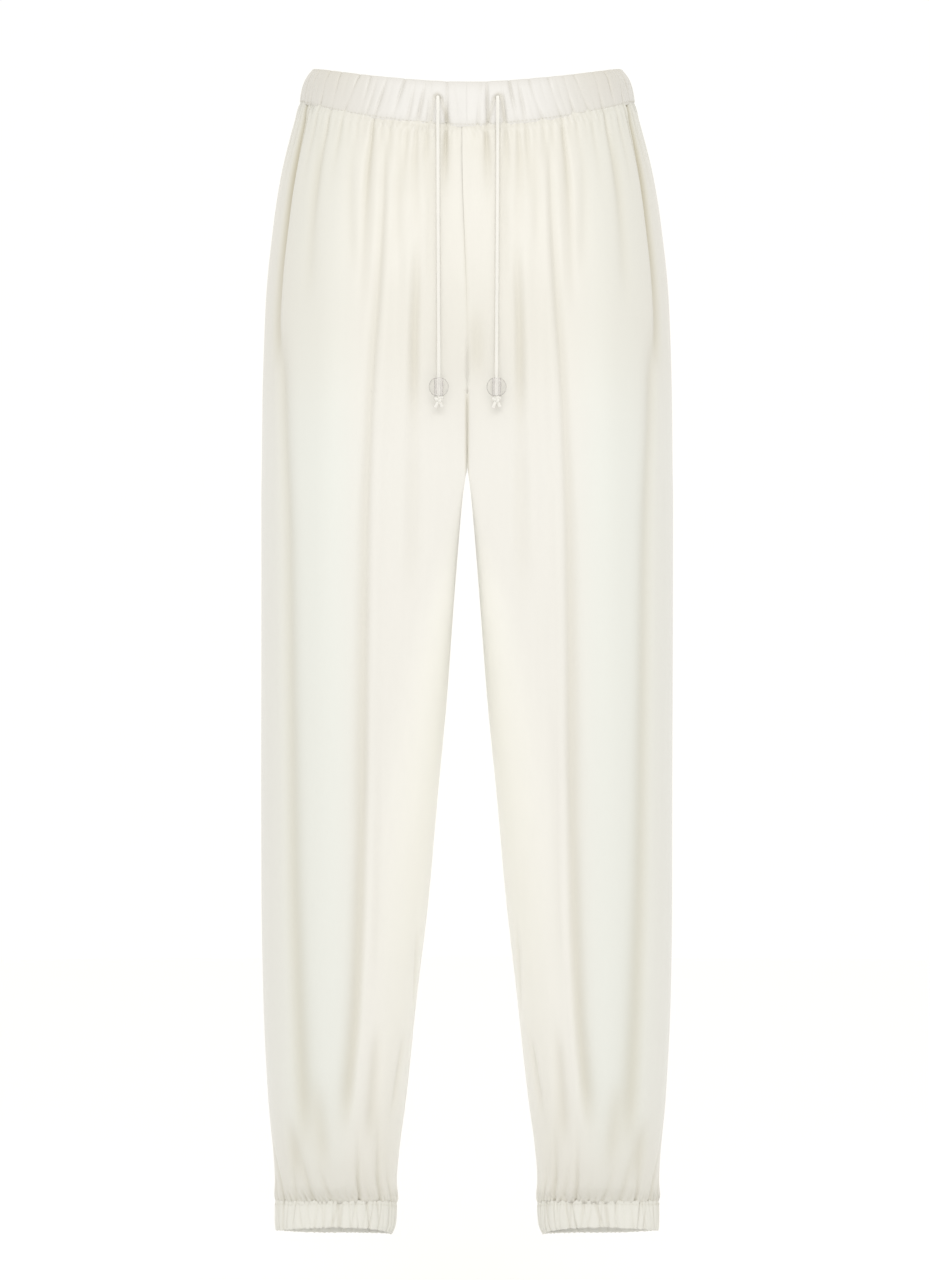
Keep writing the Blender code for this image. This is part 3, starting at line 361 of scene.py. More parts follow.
# The cloth rides up in an upturned V over each drawstring opening. across is from the opening.
TENT_COLUMNS = ("across_top", "top", "across_foot", "foot", "deep", "wide")
TENT_FOLDS = (
    (3.2, -19.5, 6.4, -46.0, 0.8, 1.8),
    (-2.6, -20.5, -9.4, -44.5, 0.9, 1.9),
    (0.6, -17.0, 0.4, -19.5, 0.4, 2.8),
)

# How quickly those folds end above and below, how much painted shade darkens them, and the dimple at the
# opening itself
TENT_ENDS = (1.5 * MM, 3 * MM)
TENT_SHADE = 0.26
DIMPLE_DEEP = 1.3 * MM
DIMPLE_WIDE = 2.9 * MM
DIMPLE_EDGE = 1.8 * MM

# Fine gathers round a cuff, and the stretch, in shares of the way round, where it is smoother
CUFF_RIBS = 70
RIB_DEEP = 1.35 * MM
RIB_WIDE = 0.85 * MM
DEEPEST_RIB = 2.2 * MM
SMOOTH_PATCH = (0.58, 0.72)
SMOOTH_EDGE = 0.07
SMOOTHER = 0.7
# One larger fold in a cuff: its place round it, how far that changes down to the hem, and its depth and width
BIG_FOLD = (0.475, 0.045)
BIG_FOLD_DEEP = 1.1 * MM
BIG_FOLD_WIDE = 1.1 * MM

# The ends of the drawstring, and the route of each: distance below its opening, and before the band
CORD_COLUMNS = ("side", "leaves_x", "bead_x")
CORD_ENDS = (("left", 26.4, 25.2), ("right", -25.2, -24.3))
CORD_LEAVES_Z = -20 * MM
BEAD_Z = -271.6 * MM
CORD_ROUTE = (
    (0.0, -1.7), (0.0, 0.0), (0.3, 2.2), (1.9, 4.6), (4.8, 6.2), (10, 6.8), (20, 7.0), (35, 7.4),
    (55, 10.2), (80, 15.2), (95, 17.6), (110, 19.3), (140, 21.8), (170, 22.8), (200, 23.4),
    (222, 24.8), (240, 26.3), (248, 26.6), (258.7, 26.6),
)
CORD_POINTS = 110
# How far the doubled cloth swells between its edges, how round those are, and how thick it is
BAND_PUFF = 1.5 * MM
CUFF_PUFF = 0.8 * MM
BAND_ROUND = 1.3 * MM
CUFF_ROUND = 1.1 * MM
BAND_INSIDE = 2.6 * MM
CUFF_INSIDE = 1.9 * MM
# The band ends this far above the waist seam, and a cuff's face stands this far off its solid's form
BAND_CLEAR = 0.6 * MM
CUFF_OUT = 0.35 * MM
# The band's gathers: the depth under which they are faint, and their share then, their width at the top and
# how much wider they are at the foot, and how far beside them its edges rise
FAINT_UNDER = 1.0 * MM
FAINT = 0.4
BAND_GATHER_WIDE = (0.9 * MM, 0.5 * MM)
EDGE_RISE_WIDE = 3.2 * MM
EDGE_RISE = 0.35 * MM
EDGE_RISE_SHARE = 0.22
# How uneven the band's face is, and how deep the puckers at its foot are, out and down
BAND_UNEVEN = 0.35 * MM
FOOT_PUCKER_OUT = 0.35 * MM
FOOT_PUCKER_DOWN = 0.6 * MM
FOOT_PUCKER_WIDE = 0.13
# The puckers at a cuff's hem and at its seam
HEM_PUCKER = 0.5 * MM
CUFF_SEAM_PUCKER = 1.3 * MM
# A knot: its middle below its solid's top, its cord, its height and depth for its width, and how far its
# bare curve reaches sideways, which it is divided by
KNOT_BELOW_TOP = 3.1 * MM
KNOT_CORD = 2.5 * MM
KNOT_TALL = 0.72
KNOT_DEEP = 0.62
KNOT_SPAN = 2.7
# The short runs of cord at a knot, each from a place by a reach: two cut tails and the stub above
KNOT_ENDS = (
    ((-0.8, -0.6, -2.2), (-2.2, -0.3, -5.0)),
    ((0.9, 0.4, -2.2), (2.0, 0.2, -4.4)),
    ((0, 0, 3.9), (0.3, 0, -3.0)),
)

# The camera stands level in front of the garment, and its frame is 1.1328 m high at the garment
CAMERA_PLACE = (-0.0018, -4.0, -0.4885)
FRAME_HIGH = 1.1328
SENSOR = 36.0
SEEN_TO = 60
# One wide softbox above the camera, aimed at the middle of the garment, and the floor's disc
SOFTBOX_PLACE = (0.0, -1.9, 0.6)
SOFTBOX_SIZE = (1.6, 0.8)
SOFTBOX_COLOUR = (0.97, 0.98, 1.0)
SOFTBOX_AIM = Vector((0, 0, -0.5))
SURROUND_COLOUR = (1, 0.986, 0.953, 1)
FLOOR_WIDE = 5
FLOOR_SIDES = 96

# Fineness of the shells
PANEL_COLUMNS = 176
BAND_COLUMNS = 250
CUFF_COLUMNS_ROUND = 560
BAND_ROWS = 30
# How far apart the panels' rows are, in millimetres, at distances down the side seam
ROW_PLACES = (0, 80, 110, 235, 262, 345, 380, 850, 880, 970)
ROWS_APART = (2.0, 2.1, 4.5, 4.5, 2.0, 2.0, 7.5, 7.5, 2.2, 2.2)
# The share of a panel's columns that stand on the wall between the legs, the least width they have, and
# how much the next ones crowd to the wall's corner
WALL_SHARE = 14 / 176
WALL_LEAST = 4 * MM
CORNER_CROWD = 1.22
CUFF_ROWS = 18
# How much painted shade darkens the satin in a gather, for each metre of its depth, in the panels, band and
# cuffs
GATHER_SHADE = 130
BAND_SHADE = 110
RIB_SHADE = 150
# How much painted light pales the inner face of a band or a cuff
INSIDE_PALE_LIGHT = 0.25
# Where the painted shade and light change: each from a place, over a length, in millimetres from the middle
# or below the waist
OUTER_SIDE = (84, 34)
OUTER_EDGE = (140, 30)
ON_LEGS = (180, 160)
LOW_DOWN = (860, 120)
FROM_MIDDLE = (0, 80)
PAST_MIDDLE = (60, 40)
ABOVE_CROTCH = (-330, 120)
BAND_SIDE = (60, 60)
# How much painted light pales the inner side of the legs, where they face each other, at depths below the
# waist
PALE_LIGHT_PLACES = ((250, 0), (268, 0.4), (345, 0.4), (400, 0.5), (450, 0.85), (630, 0.8), (805, 0.6), (910, 0.35),
               (985, 0.25))
ROLL_ROWS = 3
# Rings down a bead and its channel, and sides round a bead and a knot's turns
BEAD_RINGS = 40
CHANNEL_RINGS = 14
ROUND_SIDES = 72
KNOT_END_POINTS = 10
# A stitch: how far along it each ring is and how thick it is there, its sides, and stitches' spacing
STITCH_PROFILE = ((0.0, 0.35), (0.14, 0.9), (0.5, 1.0), (0.86, 0.9), (1.0, 0.35))
STITCH_SIDES = 6
STITCH_EVERY = 1.3
# Where the rows of stitches are: the share of the way down the band, and the row of a cuff
BAND_STITCHES = 0.93
CUFF_STITCH_ROW = 2
# The two legs and which side each is on, the two halves of the band, and turns of points to the other side
# and to level
SIDES = (("left", 1), ("right", -1))
BAND_PARTS = (("front", True), ("back", False))
MIRROR = np.array([-1, 1, 1])
LEVEL = np.array([1, 1, 0])


# The satins: how far apart the weave is drawn in millimetres, the sheen, and how much painted light pales the
# edges
FINISHES = {
    "panel": (0.9, 0.15, 0),
    "band": (0.8, 0.15, 0),
    "cuff": (0.8, 0.15, 0),
    "cord": (0.7, 0.5, 0.9),
}
# The satin's streaks across and along the threads, and how much less often a float repeats along them
STREAKS_MM = (6.25, 6.25, 1000 / 9)
FLOAT_SHARE = 0.45
# The scratches in the acrylic, the thread's twist and the roller's stipple
SCRATCHES_MM = 10 / 9
TWIST_MM = 5 / 9
STIPPLE_MM = 4


# Sizes and colours a user would change


class ClothSettings(bpy.types.PropertyGroup):
    cloth_thick: bpy.props.FloatProperty(
        name="Cloth", description="Thickness of the satin shell", default=0.0005, unit="LENGTH")
    fold_scale: bpy.props.FloatProperty(
        name="Folds", description="How strong the long folds are", default=1.0, subtype="FACTOR")
    gather_scale: bpy.props.FloatProperty(
        name="Gathers", description="How strong the gathers are", default=1.0, subtype="FACTOR")
    uneven: bpy.props.FloatProperty(
        name="Unevenness", description="Slow waves in the cloth", default=0.0005, unit="LENGTH")
    satin_panel: bpy.props.StringProperty(
        name="Leg satin", description="Colour of the leg panels' satin, sRGB hex", default="D4D2CC")
    # The waistband's satin is set darker and greyer than the legs', as painted shade of the upright, gathered
    # band
    satin_band: bpy.props.StringProperty(
        name="Waistband satin", description="Colour of the waistband's satin, sRGB hex", default="CCCAC6")
    satin_cuff: bpy.props.StringProperty(
        name="Cuff satin", description="Colour of the cuffs' satin, sRGB hex", default="D4D3CC")
    satin_cord: bpy.props.StringProperty(
        name="Cord satin", description="Colour of the drawstring's satin, sRGB hex", default="D2D0CA")
    # Painted shade: the tone the satin is mixed towards in folds, gathers, seams and ribs
    painted_crease_shade: bpy.props.StringProperty(
        name="Satin, creased", description="Tone of the satin deep in a gather, sRGB hex", default="B6B09C")
    # Painted shade: the tone of the satin's outer side, where it turns away
    painted_turned_shade: bpy.props.StringProperty(
        name="Satin, grey", description="Tone of the satin where it turns away, sRGB hex", default="D2D3CD")
    # Painted light: the tone of the satin between the legs, on the inner faces of the doubled cloth and on
    # the cord's sides
    painted_pale_light: bpy.props.StringProperty(
        name="Satin, pale", description="Tone of the satin between the legs, sRGB hex", default="F7F6EF")


class TrimSettings(bpy.types.PropertyGroup):
    cord_thick: bpy.props.FloatProperty(
        name="Cord", description="Diameter of the drawstring", default=0.0028, unit="LENGTH")
    bead_wide: bpy.props.FloatProperty(
        name="Bead", description="Diameter of a bead", default=0.017, unit="LENGTH")
    bead_tall: bpy.props.FloatProperty(
        name="Bead height", description="Height of a bead along its channel", default=0.0154, unit="LENGTH")
    bead_hole: bpy.props.FloatProperty(
        name="Channel", description="Diameter of a bead's channel", default=0.0076, unit="LENGTH")
    knot_wide: bpy.props.FloatProperty(
        name="Knot", description="Width of a knot", default=0.0074, unit="LENGTH")
    # Painted shade of the clear bead's rim and channel wall, where they are seen edge on
    bead_edge_shade: bpy.props.StringProperty(
        name="Bead colour", description="Colour of the clear bead's edges, sRGB hex", default="4A403B")
    thread_thick: bpy.props.FloatProperty(
        name="Thread", description="Thickness of the sewing thread", default=0.00035, unit="LENGTH")
    stitch_long: bpy.props.FloatProperty(
        name="Stitch", description="Length of a stitch", default=0.0028, unit="LENGTH")
    thread_colour: bpy.props.StringProperty(
        name="Thread colour", description="Colour of the sewing thread, sRGB hex", default="CFCCC1")
    channel_colour: bpy.props.StringProperty(
        name="Channel colour", description="Colour of the bead's drilled wall, sRGB hex", default="DEDADA")


class StudioSettings(bpy.types.PropertyGroup):
    surround: bpy.props.FloatProperty(
        name="Surround", description="Strength of the white surround", default=1.05)
    key_power: bpy.props.FloatProperty(
        name="Key", description="Power of the softbox above the camera", default=15.0, unit="POWER")
    floor_below: bpy.props.FloatProperty(
        name="Floor", description="Height of the floor", default=-1.12, unit="LENGTH")


# The outer form


def smooth_curve(places, values, at):
    """A smooth curve through the values, which doesn't overshoot them, read at the places asked for."""
    steps = np.diff(places)
    rises = np.diff(values) / steps
    slopes = np.zeros(len(values))
    same_way = rises[:-1] * rises[1:] > 0
    means = 2 * rises[:-1] * rises[1:] / np.where(same_way, rises[:-1] + rises[1:], 1)
    slopes[1:-1] = np.where(same_way, means, 0)
    slopes[0] = rises[0]
    slopes[-1] = rises[-1]
    at = np.clip(at, places[0], places[-1])
    span = np.clip(np.searchsorted(places, at) - 1, 0, len(places) - 2)
    step = steps[span]
    t = (at - places[span]) / step
    start = (1 + 2 * t) * (1 - t) ** 2 * values[span] + t * (1 - t) ** 2 * step * slopes[span]
    end = t * t * (3 - 2 * t) * values[span + 1] + t * t * (t - 1) * step * slopes[span + 1]
    return start + end


SECTION = {name: np.array([row[i] for row in SECTIONS[::-1]]) * MM for i, name in enumerate(SECTION_COLUMNS)}
SECTION["corner"] /= MM


def section(name, height):
    """One column of the section table at a height."""
    return smooth_curve(SECTION["height"], SECTION[name], height)


def ease(t):
    """0 below 0, 1 above 1, and smooth between."""
    t = np.clip(t, 0, 1)
    return t * t * (3 - 2 * t)


def edge_height(edge, around, inner=None):
    """The height of an edge given at its front, side and back. inner is its height at the inseam."""
    front, side, back = (value * MM for value in edge)
    turn = np.where(around <= 1, around, 2 - around)
    end = np.where(around <= 1, front, back)
    if inner is None:
        return side + (end - side) * np.cos(turn * math.pi / 2) ** EDGE_SWEEP
    round_leg = np.sin(np.clip(turn, 0, 1) * math.pi) ** LEG_EDGE_SWEEP
    straight = side + (inner * MM - side) * (0.5 + 0.5 * np.cos(turn * math.pi))
    return straight + (end - straight) * round_leg


def lap_offset(height):
    """How far the lapped centre-front seam stands from the middle at a height."""
    return LAP_OFFSET * ease((height - LAP_ENDS) / (LAP_FULL - LAP_ENDS))


def seam_turn(height, is_front):
    """How far the centre seam has turned under towards the crotch: 0 above, 1 at the crotch."""
    turns = SEAM_TURNS_FRONT if is_front else SEAM_TURNS_BACK
    power = TURN_POWER[is_front]
    share = np.clip((turns - height) / (turns - CROTCH), 0, 1)
    return 1 - (1 - share ** power) ** (1 / power)


def arc(wide, deep):
    """The length of a quarter of an ellipse, near enough."""
    return math.pi / 2 * np.sqrt((wide ** 2 + deep ** 2) / 2)


def half_section(height, is_front):
    """The sizes of the front or back half of a section, which the outer form is drawn with."""
    way = -1 if is_front else 1
    full = section("front" if is_front else "back", height)
    turn = seam_turn(height, is_front)
    under = turn * (full - way * section("inseam", height))
    rounded = ease(under / TURN_ROUND)
    corner = section("corner", height)
    peak_x = section("front_peak" if is_front else "back_peak", height)
    inner_wide = peak_x - section("inner", height)
    corner_x = corner * inner_wide
    corner_y = np.minimum(under, corner * (full - way * section("inseam", height)))
    outer_wide = section("outer", height) - peak_x
    side_deep = full - way * section("side_seam", height)
    corner_long = arc(corner_x, corner_y) * rounded + corner_x * (1 - rounded)
    turns = SEAM_TURNS_FRONT if is_front else SEAM_TURNS_BACK
    bow = BOW * ease((turns - height) / (turns - CROTCH + BOW_PAST))
    return {"way": way + 0 * height, "peak_x": peak_x, "peak_y": way * full, "under": under, "bow": bow,
            "rounded": rounded, "corner_x": corner_x, "corner_y": corner_y,
            "wall_long": under - corner_y, "corner_long": corner_long, "flat_long": inner_wide - corner_x,
            "inner_wide": inner_wide, "outer_wide": outer_wide, "outer_long": arc(outer_wide, side_deep)}


def sizes_at(height, around):
    """The front half's sizes, the back half's, each point's own, and the length of its quarter."""
    front = half_section(height, True)
    back = half_section(height, False)
    size = {name: np.where(around <= 1, front[name], back[name]) for name in front}
    return front, back, size, size["wall_long"] + size["corner_long"] + size["flat_long"] + size["outer_long"]


def outer_form(height, around, lap=0.0):
    """Points of the outer form of the half at +X, and how long each one's quarter is. around is 0 at the
    inner front, 1 at the side and 2 at the inner back. lap moves the centre-front end past the middle."""
    share = np.where(around <= 1, around, 2 - around)
    front, back, size, long = sizes_at(height, around)
    gone = share * long
    inner_x = section("inner", height)
    inner_y = size["peak_y"] - size["way"] * size["under"]
    turned = np.clip((gone - size["wall_long"]) / size["corner_long"], 0, 1)
    angle = turned * math.pi / 2
    across = (1 - size["rounded"]) * turned + size["rounded"] * (1 - np.cos(angle))
    on_wall = np.clip(gone / np.maximum(size["wall_long"], 0.01 * MM), 0, 1)
    middle = WALL_SLOPE * front["wall_long"]
    last = (WALL_BEHIND_LEAST + WALL_BEHIND * inner_x) * ease(back["wall_long"] / WALL_SOME)
    hollow_behind = (middle + (last - middle) * on_wall) * (1 - turned)
    hollow = np.where(around <= 1, middle * (1 - on_wall), hollow_behind)
    corner_x = inner_x + size["corner_x"] * across + hollow * ease(inner_x / WALL_PARTS)
    wall_y = inner_y + size["way"] * np.clip(gone, 0, size["wall_long"])
    corner_y = wall_y + size["way"] * size["corner_y"] * np.sin(angle)
    flat = np.clip(gone - size["wall_long"] - size["corner_long"], 0, size["flat_long"])
    past = np.clip((gone - long + size["outer_long"]) / size["outer_long"], 0, 1)
    bend = past * math.pi / 2
    squarer = OUTER_SQUARE * np.sin(2 * bend) ** 2
    side_y = section("side_seam", height)
    x = corner_x + flat + size["outer_wide"] * (np.sin(bend) + squarer)
    y_round = side_y + (size["peak_y"] - side_y) * (np.cos(bend) + squarer)
    y = np.where(past > 0, y_round, corner_y)
    from_peak = np.clip((size["peak_x"] - x) / size["inner_wide"], 0, 1)
    y -= size["way"] * size["bow"] * from_peak ** 2 * np.sin(angle)
    x -= np.where(around <= 1, lap * lap_offset(height) * ease(1 - x / LAP_REACH), 0)
    return np.stack([x, y, height + 0 * x], axis=-1), long


def seam_heights(drops, is_front):
    """Heights of the inner edge of a panel: down the centre seam to the crotch, then down the inseam."""
    top = (WAIST_SEAM[0] if is_front else WAIST_SEAM[2]) * MM
    fine = CROTCH + (top - CROTCH) * (1 - np.sin(np.linspace(0, math.pi / 2, 2000)))
    sizes = half_section(fine, is_front)
    depth = sizes["peak_y"] - sizes["way"] * sizes["under"]
    steps = np.hypot(np.diff(fine), TURN_CLOSER * np.diff(depth))
    length = np.concatenate([[0], np.cumsum(steps)])
    centre = np.interp(drops / CROTCH_DROP, length / length[-1], fine)
    legs = CROTCH + (CUFF_SEAM_INNER * MM - CROTCH) * (drops - CROTCH_DROP) / (1 - CROTCH_DROP)
    return np.where(drops < CROTCH_DROP, centre, legs)


def panel_heights(drops, arounds):
    """Height of every point of the panels' grid. Rows start and end on the two seams."""
    drop, around = np.meshgrid(drops, arounds, indexing="ij")
    side_top = WAIST_SEAM[1] * MM
    side = side_top + (CUFF_SEAM[1] * MM - side_top) * drop
    seam = np.where(around <= 1, seam_heights(drops, True)[:, None], seam_heights(drops, False)[:, None])
    turn = np.where(around <= 1, around, 2 - around)
    level = side + (seam - side) * (1 - turn) ** 2
    waist = edge_height(WAIST_SEAM, around) - level[:1]
    cuff = edge_height(CUFF_SEAM, around, CUFF_SEAM_INNER) - level[-1:]
    settled = ease((drop - CUFF_SETTLES_FROM) / CUFF_SETTLES_OVER)
    return level + waist * ease(1 - drop / WAIST_SETTLES) + cuff * settled


def normals_of(points, closed_from=None):
    """Outward normals of a grid of points. Rows from closed_from on are closed loops."""
    down = np.gradient(points, axis=0)
    around = np.gradient(points, axis=1)
    if closed_from is not None:
        joined = points[closed_from:, 1] - points[closed_from:, -2]
        around[closed_from:, 0] = joined
        around[closed_from:, -1] = joined
    normals = np.cross(down, around)
    return normals / np.linalg.norm(normals, axis=-1, keepdims=True)


def levelled(normals):
    """Normals turned level, so that what is moved along them keeps its height."""
    level = normals * LEVEL
    return level / np.linalg.norm(level, axis=-1, keepdims=True)


# Folds and gathers


def soft(distance, half_width):
    """The profile of a soft fold across it: 1 at its middle, fading to 0."""
    return np.exp(-(distance / half_width) ** 2)


def pinched(distance, half_width):
    """The profile of a pinched gather across it: a narrow valley with wide shoulders."""
    return 1 / (1 + (distance / half_width) ** 2) ** PINCH_POWER


def grows(value, span):
    """0 before a place and 1 once the length past it is over. span gives both in millimetres."""
    return ease((value - span[0] * MM) / (span[1] * MM))


def puffed(share):
    """How far doubled cloth swells between its two edges: 0 at them and nearly 1 between."""
    return 1 - (2 * share - 1) ** 4


def slow_waves(x, z, phase):
    """Slow uneven waves over the cloth, between about -1 and 1."""
    total = 0
    for row in SLOW_WAVES:
        wave = dict(zip(WAVE_COLUMNS, row))
        along, other = (x, z) if wave["level"] else (z, x)
        bend = wave["bend"] * np.sin(other / (wave["bend_long"] * MM) + wave["bend_turn"] * phase)
        total = total + wave["size"] * np.sin(along / (wave["long"] * MM) + bend + wave["turn"] * phase)
    return total


def long_folds_on(rows, plain, arc_long, height):
    """How far the long folds of one panel move its points out, and how much painted shade darkens the satin
    in them.
    """
    relief = np.zeros(height.shape)
    crease_shade = np.zeros(height.shape)
    way = 1 if plain[0, -1, 0] > plain[0, 0, 0] else -1
    for row in rows:
        fold = dict(zip(FOLD_COLUMNS, row))
        across, heights = np.array(fold["path"]).T * MM
        x_path = smooth_curve(heights[::-1], across[::-1], height)
        place = np.array([np.interp(path, x[::way], arc[::way])
                          for path, x, arc in zip(x_path, plain[..., 0], arc_long)])
        down = np.clip((heights[0] - height) / (heights[0] - heights[-1]), 0, 1)
        out = (fold["out_top"] + (fold["out_foot"] - fold["out_top"]) * down) * MM
        wide = (fold["wide_top"] + (fold["wide_foot"] - fold["wide_top"]) * down) * MM
        shade = fold["shade_top"] + (fold["shade_foot"] - fold["shade_top"]) * down
        fade = ease((heights[0] - height) / (fold["fade"] * MM))
        fade = fade * ease((height - heights[-1]) / (fold["fade"] * MM))
        off = arc_long - place
        wide = wide * np.where(off * way > 0, fold["lean"], 2 - fold["lean"])
        shape = fade * soft(off, wide)
        relief += out * shape
        crease_shade += shade * shape
    return relief, crease_shade


def uneven_gathers(side):
    """The waist gathers of one half, slightly unlike on the two sides, front and back."""
    width = float(outer_form(np.array(WAIST_SEAM[1] * MM), np.array(0.5))[1])
    gathers = []
    for rows, is_front in ((FRONT_WAIST_GATHERS, True), (BACK_WAIST_GATHERS, False)):
        for i, row in enumerate(rows):
            gather = {name: value * MM for name, value in zip(GATHER_COLUMNS, row)}
            shift = WAIST_SHIFT * math.sin(2.3 * i + side)
            foot = (gather["foot"] + shift) / width
            head = (gather["head"] + shift) / width
            scale = 1 + WAIST_UNLIKE * math.sin(1.9 * i + 2.2 * side)
            gathers.append({"foot": foot if is_front else 2 - foot, "head": head if is_front else 2 - head,
                            "band_deep": gather["band_deep"] * scale, "run": gather["run"],
                            "panel_deep": gather["panel_deep"] * scale, "wide": gather["wide"]})
    return gathers


def waist_gathers_on(side, around, below, width):
    """How far the waist gathers draw the panels of one half in, and how much painted shade darkens the satin
    in them.
    """
    gathered = np.zeros_like(around)
    crease_shade = np.zeros_like(around)
    for gather in uneven_gathers(side):
        distance = (around - gather["foot"]) * width
        spread = gather["wide"] * (WAIST_SPREAD[0] + WAIST_SPREAD[1] * below / gather["run"])
        shape = soft(below, WAIST_REACH * gather["run"]) * pinched(distance, spread)
        shape = shape * (1 - SHALLOWER * soft(below, SHALLOWER_OVER))
        gathered -= gather["panel_deep"] * shape
        crease_shade += gather["panel_deep"] * GATHER_SHADE * shape
    return gathered, crease_shade


def cuff_gathers_on(side, around, above, width):
    """How far the gathers at the cuff draw the panels of one half in, and how much painted shade darkens the
    satin there.
    """
    gathered = np.zeros_like(around)
    crease_shade = np.zeros_like(around)
    for rows, is_front in ((FRONT_CUFF_GATHERS, True), (BACK_CUFF_GATHERS, False)):
        for i, row in enumerate(rows):
            gather = dict(zip(CUFF_COLUMNS, row))
            run = gather["run"] * MM
            lean = gather["lean"] * above / run
            place = gather["around"] + lean + CUFF_SHIFT * math.sin(2.7 * i + side)
            place = place if is_front else 2 - place
            spread = gather["wide"] * MM * (CUFF_SPREAD[0] + CUFF_SPREAD[1] * above / run)
            deep = gather["deep"] * MM * (1 + CUFF_UNLIKE * math.sin(2.1 * i + 1.7 * side))
            shape = soft(above, run) * pinched((around - place) * width, spread)
            gathered -= deep * shape
            crease_shade += deep * GATHER_SHADE * shape
    return gathered, crease_shade


def panel_relief(side, plain, around, height, width):
    """How far everything moves the points of the panels of one half out, and how much painted shade darkens
    the satin.
    """
    cloth = bpy.context.scene.trousers_cloth
    arc_long = (around - 1) * width
    relief = np.zeros_like(around)
    crease_shade = np.zeros_like(around)
    front_rows = FRONT_FOLDS + ((FLY_HOLLOW,) if side > 0 else ())
    for rows, on in ((front_rows, slice(0, PANEL_COLUMNS + 1)), (BACK_FOLDS, slice(PANEL_COLUMNS + 1, None))):
        relief[:, on], crease_shade[:, on] = long_folds_on(rows, plain[:, on], arc_long[:, on], height[:, on])
    relief *= cloth.fold_scale
    below = edge_height(WAIST_SEAM, around) - height
    above = height - edge_height(CUFF_SEAM, around, CUFF_SEAM_INNER)
    for gathered, shade in (waist_gathers_on(side, around, below, width),
                            cuff_gathers_on(side, around, above, width)):
        relief += gathered * cloth.gather_scale
        crease_shade += shade
    for distance in (below, above):
        relief += SEAM_PUFF * soft(distance - SEAM_PUFF_AT, SEAM_PUFF_WIDE)
    calm = ease(below / CALM_OVER) * ease(above / CALM_OVER)
    relief += cloth.uneven * calm * slow_waves(-arc_long, height, 1.3 * side)
    relief -= SIDE_SEAM_DEEP * soft(arc_long, SEAM_WIDE)
    inner_seam = np.where(around <= 1, around, 2 - around) * width
    relief -= INNER_SEAM_DEEP * soft(inner_seam, SEAM_WIDE) * np.where(height < CROTCH, 1, around > 1)
    edges = soft(below, EDGE_WIDE) + soft(above, EDGE_WIDE)
    relief -= EDGE_DEEP * edges
    crease_shade += EDGE_SHADE * edges
    ruffle = soft(below - PUCKER_AT, PUCKER_WAIST) + PUCKER_CUFF_MORE * soft(above - PUCKER_AT, PUCKER_CUFF)
    pucker = puckers(arc_long, side) * ruffle
    relief += PUCKER_DEEP * pucker
    crease_shade += PUCKER_SHADE * np.maximum(-pucker, 0)
    x = plain[..., 0]
    meeting = ease((height + PARTED_BELOW) / MEETING_FADE)
    relief *= 1 - meeting * (1 - ease(x / MEETING_WIDE))
    # Painted shade in the line where the legs touch in front, and along the lapped edge
    groove = ease((GROOVE_TOP - height) / GROOVE_FADE) * meeting * (around <= 1)
    crease_shade += GROOVE_SHADE * groove * soft(x - GROOVE_AT, GROOVE_WIDE)
    lap_line = soft(x + side * lap_offset(height), LAP_LINE_WIDE) * (around <= 1)
    crease_shade += LAP_LINE_SHADE * lap_line * soft(height - LAP_LINE_MIDDLE, LAP_LINE_LONG)
    return relief, crease_shade


def puckers(along, phase):
    """Small uneven puckers along a gathered seam, between about -1 and 1."""
    bend = along + 1.6 * MM * np.sin(along / (11 * MM) + phase) + 1.1 * MM * np.sin(along / (4.7 * MM))
    size = 0.7 + 0.3 * np.sin(along / (17 * MM) + 2 * phase)
    return size * np.sin(2 * math.pi * bend / PUCKER_LONG)


def painted_light_and_shade(plain, normals, height, around):
    """Painted shade and light: darker and warmer above the crotch, and low down the legs as painted shade;
    greyer with painted shade on the outer side, where it turns away; paler with painted light between the
    legs."""
    x = plain[..., 0]
    # Painted shade on the outer side, where it turns away, more of it on the legs and less low down
    outside = grows(x, OUTER_SIDE) * (1 - 0.55 * grows(x, OUTER_EDGE))
    low = grows(-height, LOW_DOWN)
    turned_shade = outside * (0.5 + 0.5 * grows(-height, ON_LEGS)) * (1 - 0.7 * low)
    # Painted shade low down the legs; above the crotch the satin is made darker and warmer
    warm_shade = 0.12 * low * grows(x, FROM_MIDDLE)
    warm_shade = warm_shade + (0.19 - 0.06 * grows(x, PAST_MIDDLE)) * grows(height, ABOVE_CROTCH)
    # Painted light on the inner side of the legs, where they face each other
    inward = np.maximum(-normals[..., 0], 0) ** 2
    pale_light = inward * np.interp(-height, *np.array(PALE_LIGHT_PLACES).T * np.array([[MM], [1]]))
    return warm_shade, np.clip(turned_shade, 0, 1), np.clip(pale_light, 0, 1)


def panel_drops():
    """Places of the panels' rows down the leg, close together at the waist, the crotch and the cuff."""
    length = WAIST_SEAM[1] - CUFF_SEAM[1]
    fine = np.linspace(0, length, 4000)
    counts = np.concatenate([[0], np.cumsum(np.diff(fine) / np.interp(fine[1:], ROW_PLACES, ROWS_APART))])
    drops = np.interp(np.linspace(0, counts[-1], int(counts[-1])), counts, fine) / length
    drops[np.abs(drops - CROTCH_DROP).argmin()] = CROTCH_DROP
    return drops


def even_columns(height, around):
    """Shares that keep the first columns on the wall between the legs, and crowd the next ones to its corner.
    Where there's no wall, the first columns share a narrow strip beside the centre seam."""
    share = 1 - np.abs(around - 1)
    size, whole = sizes_at(height, around)[2:]
    wall = np.maximum(size["wall_long"], WALL_LEAST)
    past = np.clip((share - WALL_SHARE) / (1 - WALL_SHARE), 0, 1) ** CORNER_CROWD
    gone = wall * np.clip(share / WALL_SHARE, 0, 1) + (whole - wall) * past
    share = gone / whole
    return np.where(around <= 1, share, 2 - share)


